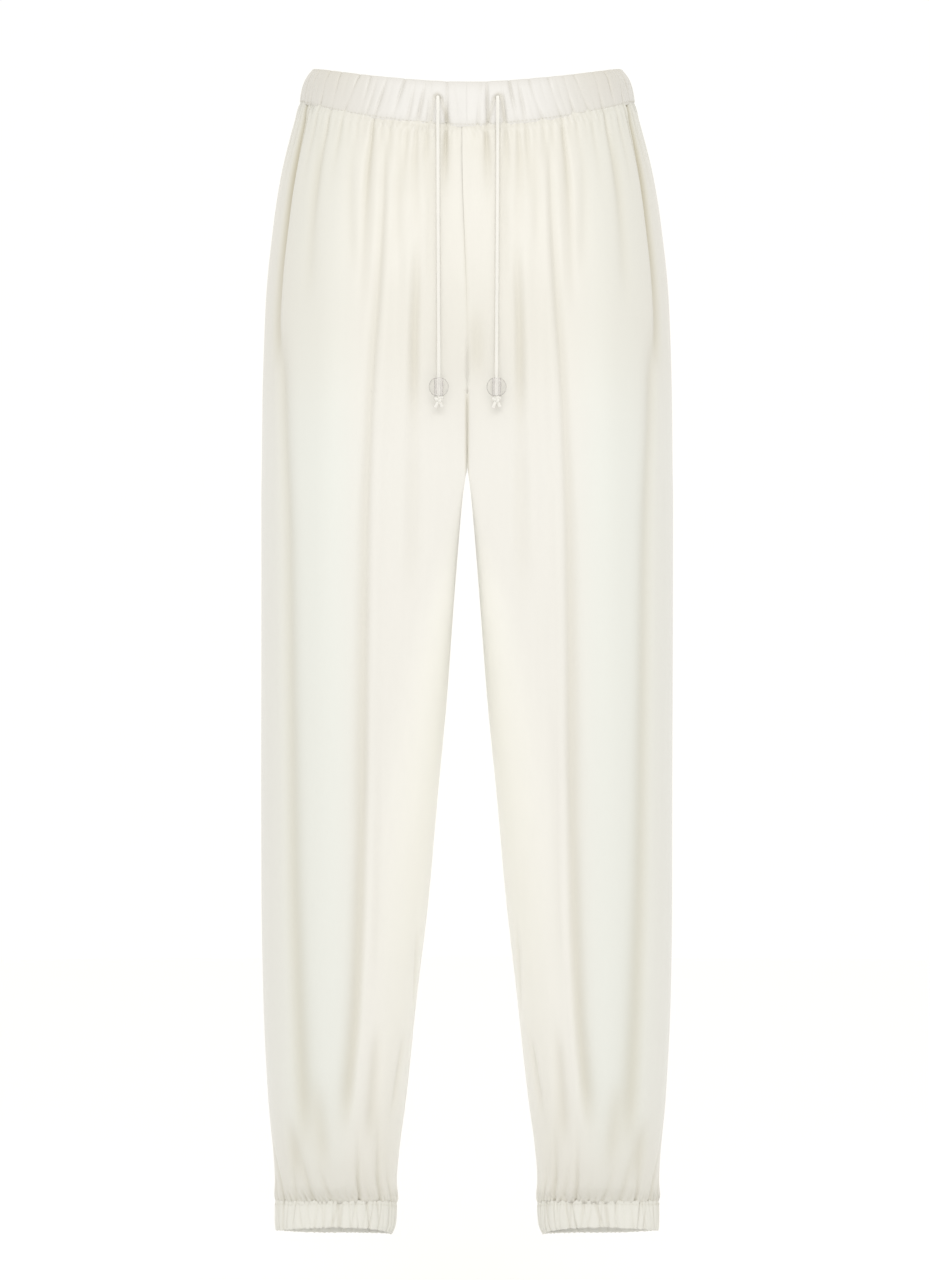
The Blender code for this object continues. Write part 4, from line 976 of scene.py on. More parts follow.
def half_points(side):
    """The outer face of both panels of one half, before it is turned to its side, and its painted shade and
    light.
    """
    drops = panel_drops()
    arounds = np.linspace(0, 2, 2 * PANEL_COLUMNS + 1)
    height = panel_heights(drops, arounds)
    around = even_columns(height, np.meshgrid(drops, arounds, indexing="ij")[1])
    plain, width = outer_form(height, around, 1 if side > 0 else 0)
    relief, crease_shade = panel_relief(side, plain, around, height, width)
    near_lap = ease(1 - around * width / LAP_WIDE) * lap_offset(height) / LAP_OFFSET
    relief += np.where(around <= 1, near_lap * (LAP_RAISE if side > 0 else -LAP_SUNK), 0)
    closed_from = int(np.searchsorted(drops, CROTCH_DROP)) + 1
    normals = levelled(normals_of(plain, closed_from))
    points = plain + normals * relief[..., None]
    warm_shade, turned_shade, pale_light = painted_light_and_shade(plain, normals, height, around)
    painted_shading = np.stack([crease_shade + warm_shade, turned_shade, pale_light], axis=-1)
    return points, painted_shading


def tucked(points, painted_shading, side):
    """The panel's points with a row more at each end, tucked in under the band and into the cuff."""
    rows = []
    for row, centre, rise in ((points[0], np.zeros(3), TUCK_UP), (points[-1], (*LEG_MIDDLE, 0), TUCK_DOWN)):
        inward = (np.array(centre) - row) * LEVEL
        inward /= np.linalg.norm(inward, axis=-1, keepdims=True)
        rows.append(row + inward * TUCK_IN + np.array([0, 0, rise]))
    points = np.concatenate([rows[:1], points, rows[1:]])
    return points * np.array([side, 1, 1]), np.concatenate([painted_shading[:1], painted_shading, painted_shading[-1:]])


def band_half(side, is_front):
    """The outer and inner faces of a quarter of the waistband, from its top down to its foot."""
    shares = np.linspace(0, 1, BAND_ROWS)
    low, high = (0, 1) if is_front else (1, 2)
    share, around = np.meshgrid(shares, np.linspace(low, high, BAND_COLUMNS), indexing="ij")
    foot = edge_height(WAIST_SEAM, around) + BAND_CLEAR
    top = edge_height(BAND_TOP, around) - BAND_ROUND
    cloth = bpy.context.scene.trousers_cloth
    gathers = uneven_gathers(side)
    wave = np.zeros_like(around)
    crease_shade = np.zeros_like(around)
    plain, width = outer_form(top + (foot - top) * share, around)
    relief = 1.1 * BAND_PUFF * puffed(share)
    for gather in gathers:
        place = gather["head"] + (gather["foot"] - gather["head"]) * share
        distance = (around - place) * width
        deep = gather["band_deep"] * cloth.gather_scale
        deep = deep * (1 if deep > FAINT_UNDER else FAINT)
        along = 0.62 + 0.38 * np.sin(4.4 * share + 7 * gather["foot"] * len(gathers) + side)
        shape = pinched(distance, BAND_GATHER_WIDE[0] + BAND_GATHER_WIDE[1] * share) * along
        relief -= deep * shape
        crease_shade += deep * BAND_SHADE * shape
        wave += deep * soft(distance, EDGE_RISE_WIDE)
    relief += BAND_UNEVEN * slow_waves(around * width * 1.6, share * 0.05, 2.1 * side)
    height = plain[..., 2]
    if is_front:
        opening = abs(CORD_ENDS[0 if side > 0 else 1][1])
        for row in TENT_FOLDS:
            fold = dict(zip(TENT_COLUMNS, row))
            down = np.clip((fold["top"] * MM - height) / ((fold["top"] - fold["foot"]) * MM), 0, 1)
            across = opening + fold["across_top"] + (fold["across_foot"] - fold["across_top"]) * down
            ends = soft(np.maximum(height - fold["top"] * MM, 0), TENT_ENDS[0])
            ends = ends * soft(np.minimum(height - fold["foot"] * MM, 0), TENT_ENDS[1])
            shape = ends * soft(plain[..., 0] - across * MM, fold["wide"] * MM)
            relief -= fold["deep"] * MM * shape
            crease_shade += TENT_SHADE * shape
        from_opening = np.hypot(plain[..., 0] - opening * MM, height - CORD_LEAVES_Z)
        relief -= DIMPLE_DEEP * ease((DIMPLE_WIDE - from_opening) / DIMPLE_EDGE)
    outward = levelled(normals_of(plain))
    edge_wave = (EDGE_RISE - EDGE_RISE_SHARE * wave)[..., None] * np.array([0, 0, 1])
    ends = (2 * share - 1)[..., None]
    outer = plain + outward * relief[..., None] - edge_wave * ends * np.abs(ends)
    inner = plain - outward * (BAND_INSIDE - 0.35 * (relief - BAND_PUFF))[..., None]
    foot_pucker = puckers((around - 1) * width, side) * soft(1 - share, FOOT_PUCKER_WIDE)
    outer += outward * (FOOT_PUCKER_OUT * foot_pucker)[..., None]
    outer[..., 2] += FOOT_PUCKER_DOWN * foot_pucker * share ** 4
    # Painted shade along the band's rolled top and foot, and in the hollows of its foot puckers
    crease_shade += 0.07 * share ** 14 + 0.06 * (1 - share) ** 12 + 0.1 * np.maximum(-foot_pucker, 0)
    # Painted shade towards the band's sides, where it turns away
    crease_shade += 0.28 * grows(plain[..., 0], BAND_SIDE) * (0.9 - 0.5 * share)
    return outer, inner, np.stack([crease_shade, 0 * crease_shade, 0 * crease_shade], axis=-1)


def cuff_faces(side):
    """The outer and inner faces of a cuff, from its seam down to its hem."""
    arounds = np.linspace(0, 2, CUFF_COLUMNS_ROUND, endpoint=False)
    share, around = np.meshgrid(np.linspace(0, 1, CUFF_ROWS), arounds, indexing="ij")
    seam = edge_height(CUFF_SEAM, around, CUFF_SEAM_INNER) - CUFF_ROUND
    hem = edge_height(CUFF_HEM, around, CUFF_HEM_INNER) + CUFF_ROUND
    plain, width = outer_form(seam + (hem - seam) * share, around)
    closed = np.concatenate([plain, plain[:, :1]], axis=1)
    outward = levelled(normals_of(closed, 0)[:, :-1])
    in_patch = ease((around - SMOOTH_PATCH[0]) / SMOOTH_EDGE) * ease((SMOOTH_PATCH[1] - around) / SMOOTH_EDGE)
    ribs = np.zeros_like(around)
    for i in range(CUFF_RIBS):
        place = 2 * (i + 0.4 * math.sin(4.1 * i + side)) / CUFF_RIBS
        lean = 0.024 * math.sin(2.9 * i + 2 * side) * (share - 0.5)
        distance = (np.mod(around - place - lean + 1, 2) - 1) * width
        deep = RIB_DEEP * (1 + 0.45 * math.sin(5.3 * i + 1.1 * side))
        along = 0.7 + 0.3 * np.sin(3.1 * share + 2.3 * i)
        ribs += deep * along * pinched(distance, RIB_WIDE * (1 + 0.4 * math.sin(3.7 * i)))
    big = (np.mod(around - BIG_FOLD[0] - BIG_FOLD[1] * share + 1, 2) - 1) * width
    ribs += BIG_FOLD_DEEP * pinched(big, BIG_FOLD_WIDE)
    ribs = DEEPEST_RIB * np.tanh(ribs / DEEPEST_RIB) * (1 - SMOOTHER * in_patch)
    pucker = puckers((around - 1) * width, side)
    edge = share ** 3 * (0.8 * ribs + HEM_PUCKER * (pucker - 1))
    edge = edge + (1 - share) ** 3 * CUFF_SEAM_PUCKER * pucker
    edge = edge[..., None] * np.array([0, 0, 1])
    outer = plain + outward * (CUFF_PUFF * puffed(share) - ribs + CUFF_OUT)[..., None] + edge
    inner = plain - outward * (CUFF_INSIDE + 0.4 * ribs)[..., None]
    # Painted shade in the cuff's ribs, and along its seam
    crease_shade = ribs * RIB_SHADE + 0.05 * (1 - share) ** 8
    return outer, inner, np.stack([crease_shade, 0 * crease_shade, 0 * crease_shade], axis=-1)


# Meshes


def link(name, data):
    """An object of that name, in the scene."""
    made = bpy.data.objects.new(name, data)
    bpy.context.scene.collection.objects.link(made)
    return made


def mesh_of(name, points, faces, flip=False, painted_shading=None):
    """A smooth-shaded mesh object from points and faces. painted_shading holds each point's painted shade and
    light.
    """
    mesh = bpy.data.meshes.new(name)
    faces = [tuple(face[::-1]) if flip else tuple(face) for face in faces]
    mesh.from_pydata([tuple(point) for point in points.reshape(-1, 3)], [], faces)
    mesh.shade_smooth()
    if painted_shading is not None:
        values = mesh.attributes.new("painted_shading", "FLOAT_COLOR", "POINT")
        rows = np.concatenate([np.clip(painted_shading, 0, 1).reshape(-1, 3), np.ones((painted_shading.size // 3, 1))], axis=1)
        values.data.foreach_set("color", rows.ravel().astype(np.float32))
    mesh.update()
    return link(name, mesh)


def grid_faces(rows, columns, rows_closed=False, columns_closed=False):
    """The squares of a grid, as corner numbers."""
    index = np.arange(rows * columns).reshape(rows, columns)
    if rows_closed:
        index = np.concatenate([index, index[:1]])
    if columns_closed:
        index = np.concatenate([index, index[:, :1]], axis=1)
    corners = [index[:-1, :-1], index[1:, :-1], index[1:, 1:], index[:-1, 1:]]
    return np.stack([corner.ravel() for corner in corners], axis=1).tolist()


def rolled(edge, far_edge, way):
    """Rows that turn the cloth over an edge, from one face to the other. way is more than 0 where the edge
    is a top one, and its size says how round it is."""
    middle = (edge + far_edge) / 2
    deep = np.linalg.norm(edge - far_edge, axis=-1, keepdims=True) / 2
    rows = []
    for i in range(1, ROLL_ROWS + 1):
        angle = math.pi * i / (ROLL_ROWS + 1)
        rise = way * np.minimum(deep, BAND_ROUND) * math.sin(angle) * np.array([0, 0, 1])
        rows.append(middle + (edge - middle) * math.cos(angle) + rise)
    return np.array(rows)


def doubled_band(name, outer, inner, painted_shading, closed):
    """A band of doubled cloth with rolled edges. Its ends are closed unless it is a loop."""
    foot = rolled(outer[-1], inner[-1], -0.5)
    top = rolled(inner[0], outer[0], 1)
    points = np.concatenate([outer, foot, inner[::-1], top])
    # The inner face keeps its painted shade and gets painted light
    inside = painted_shading[::-1] * LEVEL + np.array([0, 0, INSIDE_PALE_LIGHT])
    painted_shading = np.concatenate([painted_shading, np.repeat(painted_shading[-1:], ROLL_ROWS, 0), inside,
                            np.repeat(painted_shading[:1], ROLL_ROWS, 0)])
    rows, columns = points.shape[:2]
    faces = grid_faces(rows, columns, rows_closed=True, columns_closed=closed)
    if not closed:
        count = len(outer)
        for column, turned in ((0, False), (columns - 1, True)):
            ring = [row * columns + column for row in range(rows)]
            face_rows = ring[:count]
            back_rows = ring[count + ROLL_ROWS:2 * count + ROLL_ROWS][::-1]
            ends = [[face_rows[i], back_rows[i], back_rows[i + 1], face_rows[i + 1]]
                    for i in range(count - 1)]
            ends.append(ring[count - 1:count + ROLL_ROWS + 1][::-1])
            ends.append(([ring[0]] + ring[2 * count + ROLL_ROWS - 1:][::-1]))
            faces += [end[::-1] if turned else end for end in ends]
    return mesh_of(name, points, faces, painted_shading=painted_shading)


def dress(piece, node, material=None):
    """Put a piece in its solid's place, with its finish."""
    if material:
        piece.data.materials.append(material)
    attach(piece, "root")
    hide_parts(node)


# Materials


def linear(hex_colour):
    """A linear colour from an sRGB hex value."""
    parts = [int(hex_colour[i:i + 2], 16) / 255 for i in (0, 2, 4)]
    return (*[p / 12.92 if p <= 0.04045 else ((p + 0.055) / 1.055) ** 2.4 for p in parts], 1)


def per_metre(apart_mm):
    """The scale of a pattern whose marks are that many millimetres apart."""
    return 1 / (apart_mm * MM)


def add_node(tree, kind, settings=None, **inputs):
    """A node with its settings, and its inputs set to values or linked to other nodes' outputs."""
    node = tree.nodes.new(kind)
    for name, value in (settings or {}).items():
        setattr(node, name, value)
    for name, value in inputs.items():
        socket = node.inputs[name.replace("_", " ")]
        if isinstance(value, bpy.types.NodeSocket):
            tree.links.new(value, socket)
        else:
            socket.default_value = value
    return node


def new_material(name):
    """A node material and its shader, or the material and None where it's already made."""
    material = bpy.data.materials.get(name)
    if material:
        return material, None
    material = bpy.data.materials.new(name)
    material.use_nodes = True
    return material, material.node_tree.nodes["Principled BSDF"]


def satin_material(name, light, crease_shade, turned_shade, pale_light, weave_mm, sheen, painted_edge_light):
    """Polyester satin, woven with long floats: a soft broad gloss down the cloth, and a faint tonal
    streak along the threads, 6 mm apart and 110 mm long. The real threads are about 0.2 mm apart, too fine
    to show, so the weave is drawn weave_mm apart. crease_shade and turned_shade are tones of painted shade
    and pale_light a tone of painted light. painted_edge_light is how far painted light pales a narrow cord's
    sides."""
    material, shader = new_material(name)
    if shader is None:
        return material
    tree = material.node_tree
    place = add_node(tree, "ShaderNodeTexCoord").outputs["Object"]
    streak_scale = [per_metre(apart) for apart in STREAKS_MM]
    streak_place = add_node(tree, "ShaderNodeMapping", Vector=place, Scale=streak_scale).outputs["Vector"]
    streaks = add_node(tree, "ShaderNodeTexNoise", Vector=streak_place, Scale=1.0, Detail=3.0).outputs["Fac"]
    tone = add_node(tree, "ShaderNodeMix", {"data_type": "RGBA"})
    tree.links.new(streaks, tone.inputs["Factor"])
    tone.inputs["A"].default_value = [value * 1.015 for value in linear(light)[:3]] + [1]
    tone.inputs["B"].default_value = [value * 0.985 for value in linear(light)[:3]] + [1]
    painted_shading = add_node(tree, "ShaderNodeAttribute", {"attribute_name": "painted_shading"}).outputs["Color"]
    amounts = add_node(tree, "ShaderNodeSeparateColor", Color=painted_shading).outputs
    colour = tone.outputs["Result"]
    # Mixes in painted shade in creases (red), painted shade where the cloth turns away (green), and painted
    # light (blue)
    for amount, mixed in (("Green", turned_shade), ("Blue", pale_light), ("Red", crease_shade)):
        toned = add_node(tree, "ShaderNodeMix", {"data_type": "RGBA"})
        tree.links.new(amounts[amount], toned.inputs["Factor"])
        tree.links.new(colour, toned.inputs["A"])
        toned.inputs["B"].default_value = linear(mixed)
        colour = toned.outputs["Result"]
    # Painted light on a narrow cord's sides, where they turn away
    if painted_edge_light:
        edge_on = add_node(tree, "ShaderNodeLayerWeight", Blend=0.5).outputs["Facing"]
        amount = add_node(tree, "ShaderNodeMapRange", Value=edge_on, To_Max=painted_edge_light).outputs["Result"]
        toned = add_node(tree, "ShaderNodeMix", {"data_type": "RGBA"})
        tree.links.new(amount, toned.inputs["Factor"])
        tree.links.new(colour, toned.inputs["A"])
        toned.inputs["B"].default_value = linear(pale_light)
        colour = toned.outputs["Result"]
    tree.links.new(colour, shader.inputs["Base Color"])
    gloss = add_node(tree, "ShaderNodeMapRange", Value=streaks, To_Min=0.36, To_Max=0.46).outputs["Result"]
    tree.links.new(gloss, shader.inputs["Roughness"])
    fine = per_metre(weave_mm)
    weave_place = add_node(tree, "ShaderNodeMapping", Vector=place,
                           Scale=(fine, fine, fine * FLOAT_SHARE)).outputs["Vector"]
    weave = add_node(tree, "ShaderNodeTexNoise", Vector=weave_place, Scale=1.0, Detail=1.0).outputs["Fac"]
    bump = add_node(tree, "ShaderNodeBump", Strength=0.10, Distance=0.0002, Height=weave)
    tree.links.new(bump.outputs["Normal"], shader.inputs["Normal"])
    shader.inputs["IOR"].default_value = 1.48
    shader.inputs["Sheen Weight"].default_value = sheen
    shader.inputs["Sheen Roughness"].default_value = 0.4
    return material


def acrylic_material(name, face, edge, least, most, narrow):
    """Cast acrylic, turned and polished: clear, so only its rim and the wall of its channel show, as fine
    brownish-grey lines of painted shade where they are seen edge on. The drilled wall is left cloudier and
    paler. Polishing leaves faint scratches about 1 mm apart. least and most are how much of the light it
    stops, seen face on and edge on, and narrow is how thin its lines are."""
    material, shader = new_material(name)
    if shader is None:
        return material
    tree = material.node_tree
    place = add_node(tree, "ShaderNodeTexCoord").outputs["Object"]
    scratches = add_node(tree, "ShaderNodeTexNoise", Vector=place, Scale=per_metre(SCRATCHES_MM),
                         Detail=2.0).outputs["Fac"]
    polish = add_node(tree, "ShaderNodeMapRange", Value=scratches, To_Min=0.02, To_Max=0.06)
    tree.links.new(polish.outputs["Result"], shader.inputs["Roughness"])
    edge_on = add_node(tree, "ShaderNodeLayerWeight", Blend=0.5).outputs["Facing"]
    sharper = add_node(tree, "ShaderNodeMath", {"operation": "POWER"})
    tree.links.new(edge_on, sharper.inputs[0])
    sharper.inputs[1].default_value = narrow
    stopped = add_node(tree, "ShaderNodeMapRange", Value=sharper.outputs[0], To_Min=least, To_Max=most)
    tree.links.new(stopped.outputs["Result"], shader.inputs["Alpha"])
    tone = add_node(tree, "ShaderNodeMix", {"data_type": "RGBA"})
    tree.links.new(sharper.outputs[0], tone.inputs["Factor"])
    tone.inputs["A"].default_value = linear(face)
    tone.inputs["B"].default_value = linear(edge)
    tree.links.new(tone.outputs["Result"], shader.inputs["Base Color"])
    shader.inputs["IOR"].default_value = 1.49
    return material


def thread_material():
    """Spun polyester thread, twisted and dyed to match: a fine uneven surface and little gloss."""
    material, shader = new_material("spun_polyester_thread")
    if shader is None:
        return material
    tree = material.node_tree
    place = add_node(tree, "ShaderNodeTexCoord").outputs["Object"]
    twist = add_node(tree, "ShaderNodeTexNoise", Vector=place, Scale=per_metre(TWIST_MM)).outputs["Fac"]
    bump = add_node(tree, "ShaderNodeBump", Strength=0.3, Distance=0.0001, Height=twist)
    tree.links.new(bump.outputs["Normal"], shader.inputs["Normal"])
    shader.inputs["Base Color"].default_value = linear(bpy.context.scene.trousers_trim.thread_colour)
    shader.inputs["Roughness"].default_value = 0.6
    return material


def floor_material():
    """Painted studio floor, rolled matte white, with a faint roller stipple."""
    material, shader = new_material("rolled_white_paint")
    if shader is None:
        return material
    tree = material.node_tree
    place = add_node(tree, "ShaderNodeTexCoord").outputs["Object"]
    stipple = add_node(tree, "ShaderNodeTexNoise", Vector=place, Scale=per_metre(STIPPLE_MM)).outputs["Fac"]
    bump = add_node(tree, "ShaderNodeBump", Strength=0.02, Distance=0.001, Height=stipple)
    tree.links.new(bump.outputs["Normal"], shader.inputs["Normal"])
    shader.inputs["Base Color"].default_value = linear("FDFDFD")
    shader.inputs["Roughness"].default_value = 0.9
    return material


def cloth_finish(kind):
    """The satin of one kind of piece."""
    cloth = bpy.context.scene.trousers_cloth
    spacing, sheen, painted_edge_light = FINISHES[kind]
    return satin_material("woven_polyester_satin_" + kind, getattr(cloth, "satin_" + kind),
                          cloth.painted_crease_shade, cloth.painted_turned_shade, cloth.painted_pale_light, spacing, sheen, painted_edge_light)


# Operators


class TROUSERS_OT_stage(bpy.types.Operator):
    """Set up the camera, the floor and the soft studio light"""
    bl_idname = "trousers.stage"
    bl_label = "Studio"

    def execute(self, context):
        studio = context.scene.trousers_studio
        camera = link("camera", bpy.data.cameras.new("camera"))
        camera.location = CAMERA_PLACE
        camera.rotation_euler = (math.pi / 2, 0, 0)
        camera.data.sensor_width = SENSOR
        camera.data.lens = SENSOR * -CAMERA_PLACE[1] / FRAME_HIGH
        camera.data.clip_end = SEEN_TO
        context.scene.camera = camera
        context.scene.view_settings.view_transform = "Standard"

        world = bpy.data.worlds.new("white_surround")
        world.use_nodes = True
        background = world.node_tree.nodes["Background"]
        background.inputs["Color"].default_value = SURROUND_COLOUR
        background.inputs["Strength"].default_value = studio.surround
        context.scene.world = world

        lamp = bpy.data.lights.new("softbox_key", "AREA")
        lamp.shape = "RECTANGLE"
        lamp.size, lamp.size_y = SOFTBOX_SIZE
        lamp.energy = studio.key_power
        lamp.color = SOFTBOX_COLOUR
        softbox = link("softbox_key", lamp)
        softbox.location = SOFTBOX_PLACE
        softbox.rotation_euler = (SOFTBOX_AIM - softbox.location).to_track_quat("-Z", "Y").to_euler()

        ring = np.linspace(0, 2 * math.pi, FLOOR_SIDES, endpoint=False)
        rim = np.stack([np.cos(ring) * FLOOR_WIDE, np.sin(ring) * FLOOR_WIDE, 0 * ring + studio.floor_below],
                       axis=-1)
        floor = mesh_of("floor", rim, [list(range(FLOOR_SIDES))])
        floor.data.materials.append(floor_material())
        return {"FINISHED"}


def cord_points(leaves_x, bead_x, band_y):
    """Evenly spaced points of a cord end, on a smooth curve through its route."""
    below, before = np.array(CORD_ROUTE).T * MM
    steps = np.concatenate([[0], np.cumsum(np.hypot(np.diff(below), np.diff(before)))])
    at = np.linspace(0, steps[-1], CORD_POINTS)
    z = CORD_LEAVES_Z - smooth_curve(steps, below, at)
    y = band_y - smooth_curve(steps, before, at)
    x = (leaves_x + (bead_x - leaves_x) * ease(smooth_curve(steps, below, at) / below[-1])) * MM
    return np.stack([x, y, z], axis=-1)


def tube(name, runs, thick):
    """A round tube along each run of points. A run is its points, and whether it is a loop."""
    curve = bpy.data.curves.new(name, "CURVE")
    curve.dimensions = "3D"
    curve.bevel_depth = thick / 2
    curve.bevel_resolution = 4
    curve.use_fill_caps = True
    for points, loop in runs:
        spline = curve.splines.new("POLY")
        spline.points.add(len(points) - 1)
        for place, point in zip(spline.points, points):
            place.co = (*point, 1)
        spline.use_cyclic_u = loop
        spline.use_smooth = True
    return link(name, curve)


def bead_mesh(name, place):
    """A clear ball with its drilled channel, turned from one profile."""
    trim = bpy.context.scene.trousers_trim
    radius = trim.bead_wide / 2
    hole = trim.bead_hole / 2
    rim = math.asin(hole / radius)
    angles = np.linspace(rim, math.pi - rim, BEAD_RINGS)
    tall = trim.bead_tall / 2 / math.cos(rim)
    outside = np.stack([radius * np.sin(angles), tall * np.cos(angles)], axis=-1)
    rises = np.linspace(-trim.bead_tall / 2, trim.bead_tall / 2, CHANNEL_RINGS + 2)[1:-1]
    channel = np.stack([np.full(CHANNEL_RINGS, hole), rises], axis=-1)
    profile = np.concatenate([outside, channel])
    turns = np.linspace(0, 2 * math.pi, ROUND_SIDES, endpoint=False)
    points = np.stack([
        profile[:, :1] * np.cos(turns) + place[0],
        profile[:, :1] * np.sin(turns) + place[1],
        profile[:, 1:] + 0 * turns + place[2],
    ], axis=-1)
    faces = grid_faces(len(profile), len(turns), rows_closed=True, columns_closed=True)
    bead = mesh_of(name, points, faces)
    # The bead's rim and channel lines are painted shade
    clear = acrylic_material("polished_cast_acrylic", trim.bead_edge_shade, trim.bead_edge_shade, 0.0, 0.85, 5.0)
    drilled = acrylic_material("drilled_cast_acrylic", trim.channel_colour, trim.bead_edge_shade, 0.2, 0.98, 2.6)
    bead.data.materials.append(clear)
    bead.data.materials.append(drilled)
    for face in bead.data.polygons:
        face.material_index = int(face.index >= (len(outside) - 1) * len(turns))
    return bead


def knot_runs(place, wide, thick):
    """The runs of a small tight knot: its turns, which are a trefoil, two cut tails and the stub above."""
    turn = np.linspace(0, 2 * math.pi, ROUND_SIDES, endpoint=False)
    reach = (wide - thick) / 2
    x = reach * (np.sin(turn) + 2 * np.sin(2 * turn)) / KNOT_SPAN
    z = reach * KNOT_TALL * (np.cos(turn) - 2 * np.cos(2 * turn)) / KNOT_SPAN
    y = reach * KNOT_DEEP * np.sin(3 * turn)
    centre = np.array(place)
    runs = [(np.stack([x, y, z], axis=-1) + centre, True)]
    along = np.linspace(0, 1, KNOT_END_POINTS)[:, None]
    for start, goes in KNOT_ENDS:
        runs.append((np.array(start) * MM + along * np.array(goes) * MM + centre, False))
    return runs


class TROUSERS_OT_cords(bpy.types.Operator):
    """Make the two ends of the drawstring, with a bead and a knot on each"""
    bl_idname = "trousers.cords"
    bl_label = "Drawstring ends"

    def execute(self, context):
        trim = context.scene.trousers_trim
        band_y = -section("front", np.array(CORD_LEAVES_Z)) - BAND_PUFF
        rouleau = cloth_finish("cord")
        for row in CORD_ENDS:
            end = dict(zip(CORD_COLUMNS, row))
            side = end["side"]
            points = cord_points(end["leaves_x"], end["bead_x"], band_y)
            cord = tube("rouleau_cord_" + side, [(points, False)], trim.cord_thick)
            low = points[-1]
            bead = bead_mesh("clear_bead_" + side, (low[0], low[1], BEAD_Z))
            knot_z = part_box("knot_" + side)[1].z - KNOT_BELOW_TOP
            runs = knot_runs((low[0], low[1], knot_z), trim.knot_wide, KNOT_CORD)
            knot = tube("cord_knot_" + side, runs, KNOT_CORD)
            dress(cord, "drawstring_" + side, rouleau)
            dress(bead, "bead_" + side)
            dress(knot, "knot_" + side, rouleau)
        return {"FINISHED"}


def thin_shell(piece, thick):
    """Give a face of cloth its thickness, on the inside."""
    shell = piece.modifiers.new("cloth", "SOLIDIFY")
    shell.thickness = thick
    shell.offset = -1
    shell.use_even_offset = False


class TROUSERS_OT_leg_panels(bpy.types.Operator):
    """Make the four leg panels, with their folds and gathers"""
    bl_idname = "trousers.leg_panels"
    bl_label = "Leg panels"

    def execute(self, context):
        satin = cloth_finish("panel")
        parts = (("front", slice(0, PANEL_COLUMNS + 1)), ("back", slice(PANEL_COLUMNS, None)))
        for name, side in SIDES:
            points, painted_shading = tucked(*half_points(side), side)
            faces = grid_faces(len(points), PANEL_COLUMNS + 1)
            for part, columns in parts:
                piece = mesh_of(f"leg_{part}_{name}", points[:, columns], faces, side < 0, painted_shading[:, columns])
                thin_shell(piece, context.scene.trousers_cloth.cloth_thick)
                dress(piece, f"{part}_{name}", satin)
        return {"FINISHED"}


class TROUSERS_OT_waistband(bpy.types.Operator):
    """Make the front and back halves of the gathered waistband"""
    bl_idname = "trousers.waistband"
    bl_label = "Waistband"

    def execute(self, context):
        satin = cloth_finish("band")
        for part, is_front in BAND_PARTS:
            made = []
            halves = zip(band_half(1, is_front), band_half(-1, is_front), (MIRROR, MIRROR, 1))
            for plus, minus, turn in halves:
                minus = minus * turn
                pieces = (minus[:, :0:-1], plus) if is_front else (plus, minus[:, -2::-1])
                made.append(np.concatenate(pieces, axis=1))
            piece = doubled_band("band_" + part, *made, closed=False)
            dress(piece, "waistband_" + part, satin)
        return {"FINISHED"}


class TROUSERS_OT_cuffs(bpy.types.Operator):
    """Make the two gathered ankle cuffs"""
    bl_idname = "trousers.cuffs"
    bl_label = "Ankle cuffs"

    def execute(self, context):
        satin = cloth_finish("cuff")
        for name, side in SIDES:
            outer, inner, painted_shading = cuff_faces(side)
            turn = np.array([side, 1, 1])
            piece = doubled_band("ankle_cuff_" + name, (outer * turn)[:, ::side], (inner * turn)[:, ::side],
                                 painted_shading[:, ::side], closed=True)
            dress(piece, "cuff_" + name, satin)
        return {"FINISHED"}


def stitches(name, line, out):
    """A row of short thread stitches along a line of points, standing just out of the cloth, as one mesh."""
    trim = bpy.context.scene.trousers_trim
    steps = np.linalg.norm(np.diff(line, axis=0), axis=1)
    along = np.concatenate([[0], np.cumsum(steps)])
    thick = trim.thread_thick / 2
    points, faces = [], []
    turns = np.linspace(0, 2 * math.pi, STITCH_SIDES, endpoint=False)[:, None]
    starts = np.arange(trim.stitch_long, along[-1] - 2 * trim.stitch_long, trim.stitch_long * STITCH_EVERY)
    for start in starts:
        places = start + trim.stitch_long * np.array(STITCH_PROFILE)[:, :1]
        centres = np.stack([np.interp(places[:, 0], along, line[:, i]) for i in range(3)], axis=-1)
        outward = np.array([np.interp(start, along, out[:, i]) for i in range(3)])
        outward /= np.linalg.norm(outward)
        ahead = centres[-1] - centres[0]
        across = np.cross(ahead, outward)
        across /= np.linalg.norm(across)
        base = len(points)
        for centre, (_, wide) in zip(centres, STITCH_PROFILE):
            middle = centre + outward * thick * (2 * wide - 1)
            points.extend(middle + thick * wide * (np.cos(turns) * across + np.sin(turns) * outward))
        rings = len(STITCH_PROFILE)
        faces += [[corner + base for corner in face]
                  for face in grid_faces(rings, STITCH_SIDES, columns_closed=True)]
        faces.append([base + i for i in range(STITCH_SIDES)])
        faces.append([base + (rings - 1) * STITCH_SIDES + i for i in range(STITCH_SIDES)][::-1])
    return mesh_of(name, np.array(points), faces)


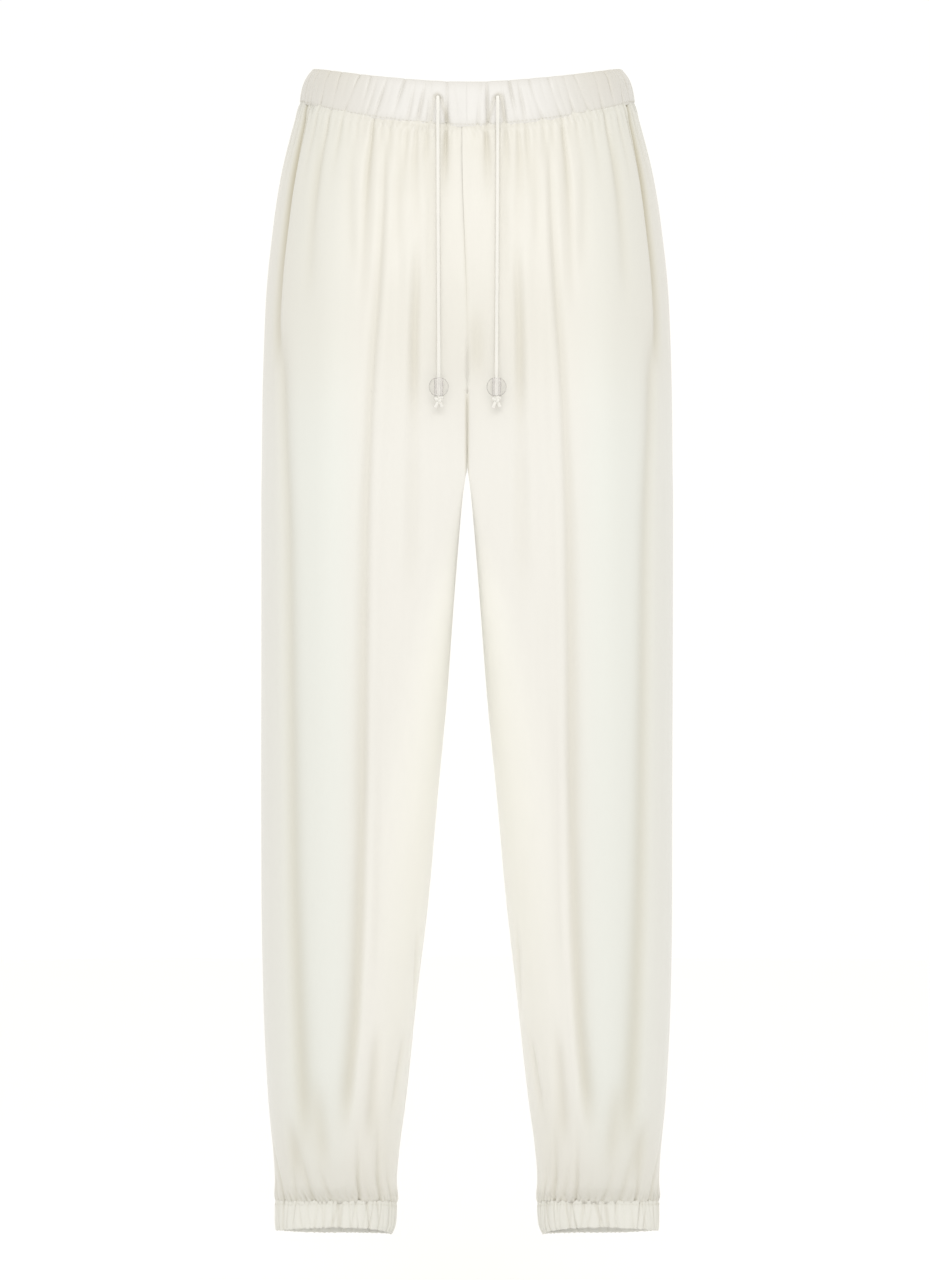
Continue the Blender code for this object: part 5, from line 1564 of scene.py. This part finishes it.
class TROUSERS_OT_stitching(bpy.types.Operator):
    """Sew the visible rows of stitches, at the waistband's foot and along the cuffs"""
    bl_idname = "trousers.stitching"
    bl_label = "Stitching"

    def execute(self, context):
        thread = thread_material()
        rows = []
        row = int(BAND_ROWS * BAND_STITCHES)
        for part, is_front in BAND_PARTS:
            left, right = band_half(1, is_front)[0][row], band_half(-1, is_front)[0][row] * MIRROR
            pieces = (right[:0:-1], left) if is_front else (left, right[-2::-1])
            rows.append(("band_" + part, np.concatenate(pieces), np.zeros(3)))
        for name, side in SIDES:
            line = cuff_faces(side)[0][CUFF_STITCH_ROW]
            line = np.concatenate([line, line[:1]]) * np.array([side, 1, 1])
            rows.append(("cuff_" + name, line, np.array([side * LEG_MIDDLE[0], LEG_MIDDLE[1], 0])))
        for name, line, middle in rows:
            sewn = stitches("thread_" + name, line, (line - middle) * LEVEL)
            sewn.data.materials.append(thread)
            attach(sewn, "root")
        return {"FINISHED"}


class TROUSERS_PT_panel(bpy.types.Panel):
    """Lists the trousers' pieces and their sizes"""
    bl_idname = "TROUSERS_PT_panel"
    bl_label = "Trousers"
    bl_space_type = "VIEW_3D"
    bl_region_type = "UI"
    bl_category = "Trousers"

    def draw(self, context):
        for operator in OPERATORS:
            self.layout.operator(operator.bl_idname)
        for settings, _ in GROUPS:
            group = getattr(context.scene, settings)
            box = self.layout.box()
            for name in group.bl_rna.properties.keys():
                if name not in ("rna_type", "name"):
                    box.prop(group, name)


OPERATORS = (TROUSERS_OT_stage, TROUSERS_OT_cords, TROUSERS_OT_leg_panels, TROUSERS_OT_waistband,
             TROUSERS_OT_cuffs, TROUSERS_OT_stitching)
GROUPS = (("trousers_cloth", ClothSettings), ("trousers_trim", TrimSettings),
          ("trousers_studio", StudioSettings))


def register():
    for _, group in GROUPS:
        bpy.utils.register_class(group)
    for name, group in GROUPS:
        setattr(bpy.types.Scene, name, bpy.props.PointerProperty(type=group))
    for kind in (*OPERATORS, TROUSERS_PT_panel):
        bpy.utils.register_class(kind)


def unregister():
    for kind in (TROUSERS_PT_panel, *OPERATORS[::-1]):
        bpy.utils.unregister_class(kind)
    for name, group in GROUPS[::-1]:
        delattr(bpy.types.Scene, name)
        bpy.utils.unregister_class(group)


def main():
    """Make everything in order."""
    register()
    bpy.ops.trousers.stage()
    bpy.ops.trousers.cords()
    bpy.ops.trousers.leg_panels()
    bpy.ops.trousers.waistband()
    bpy.ops.trousers.cuffs()
    bpy.ops.trousers.stitching()


if __name__ == "__main__":
    main()
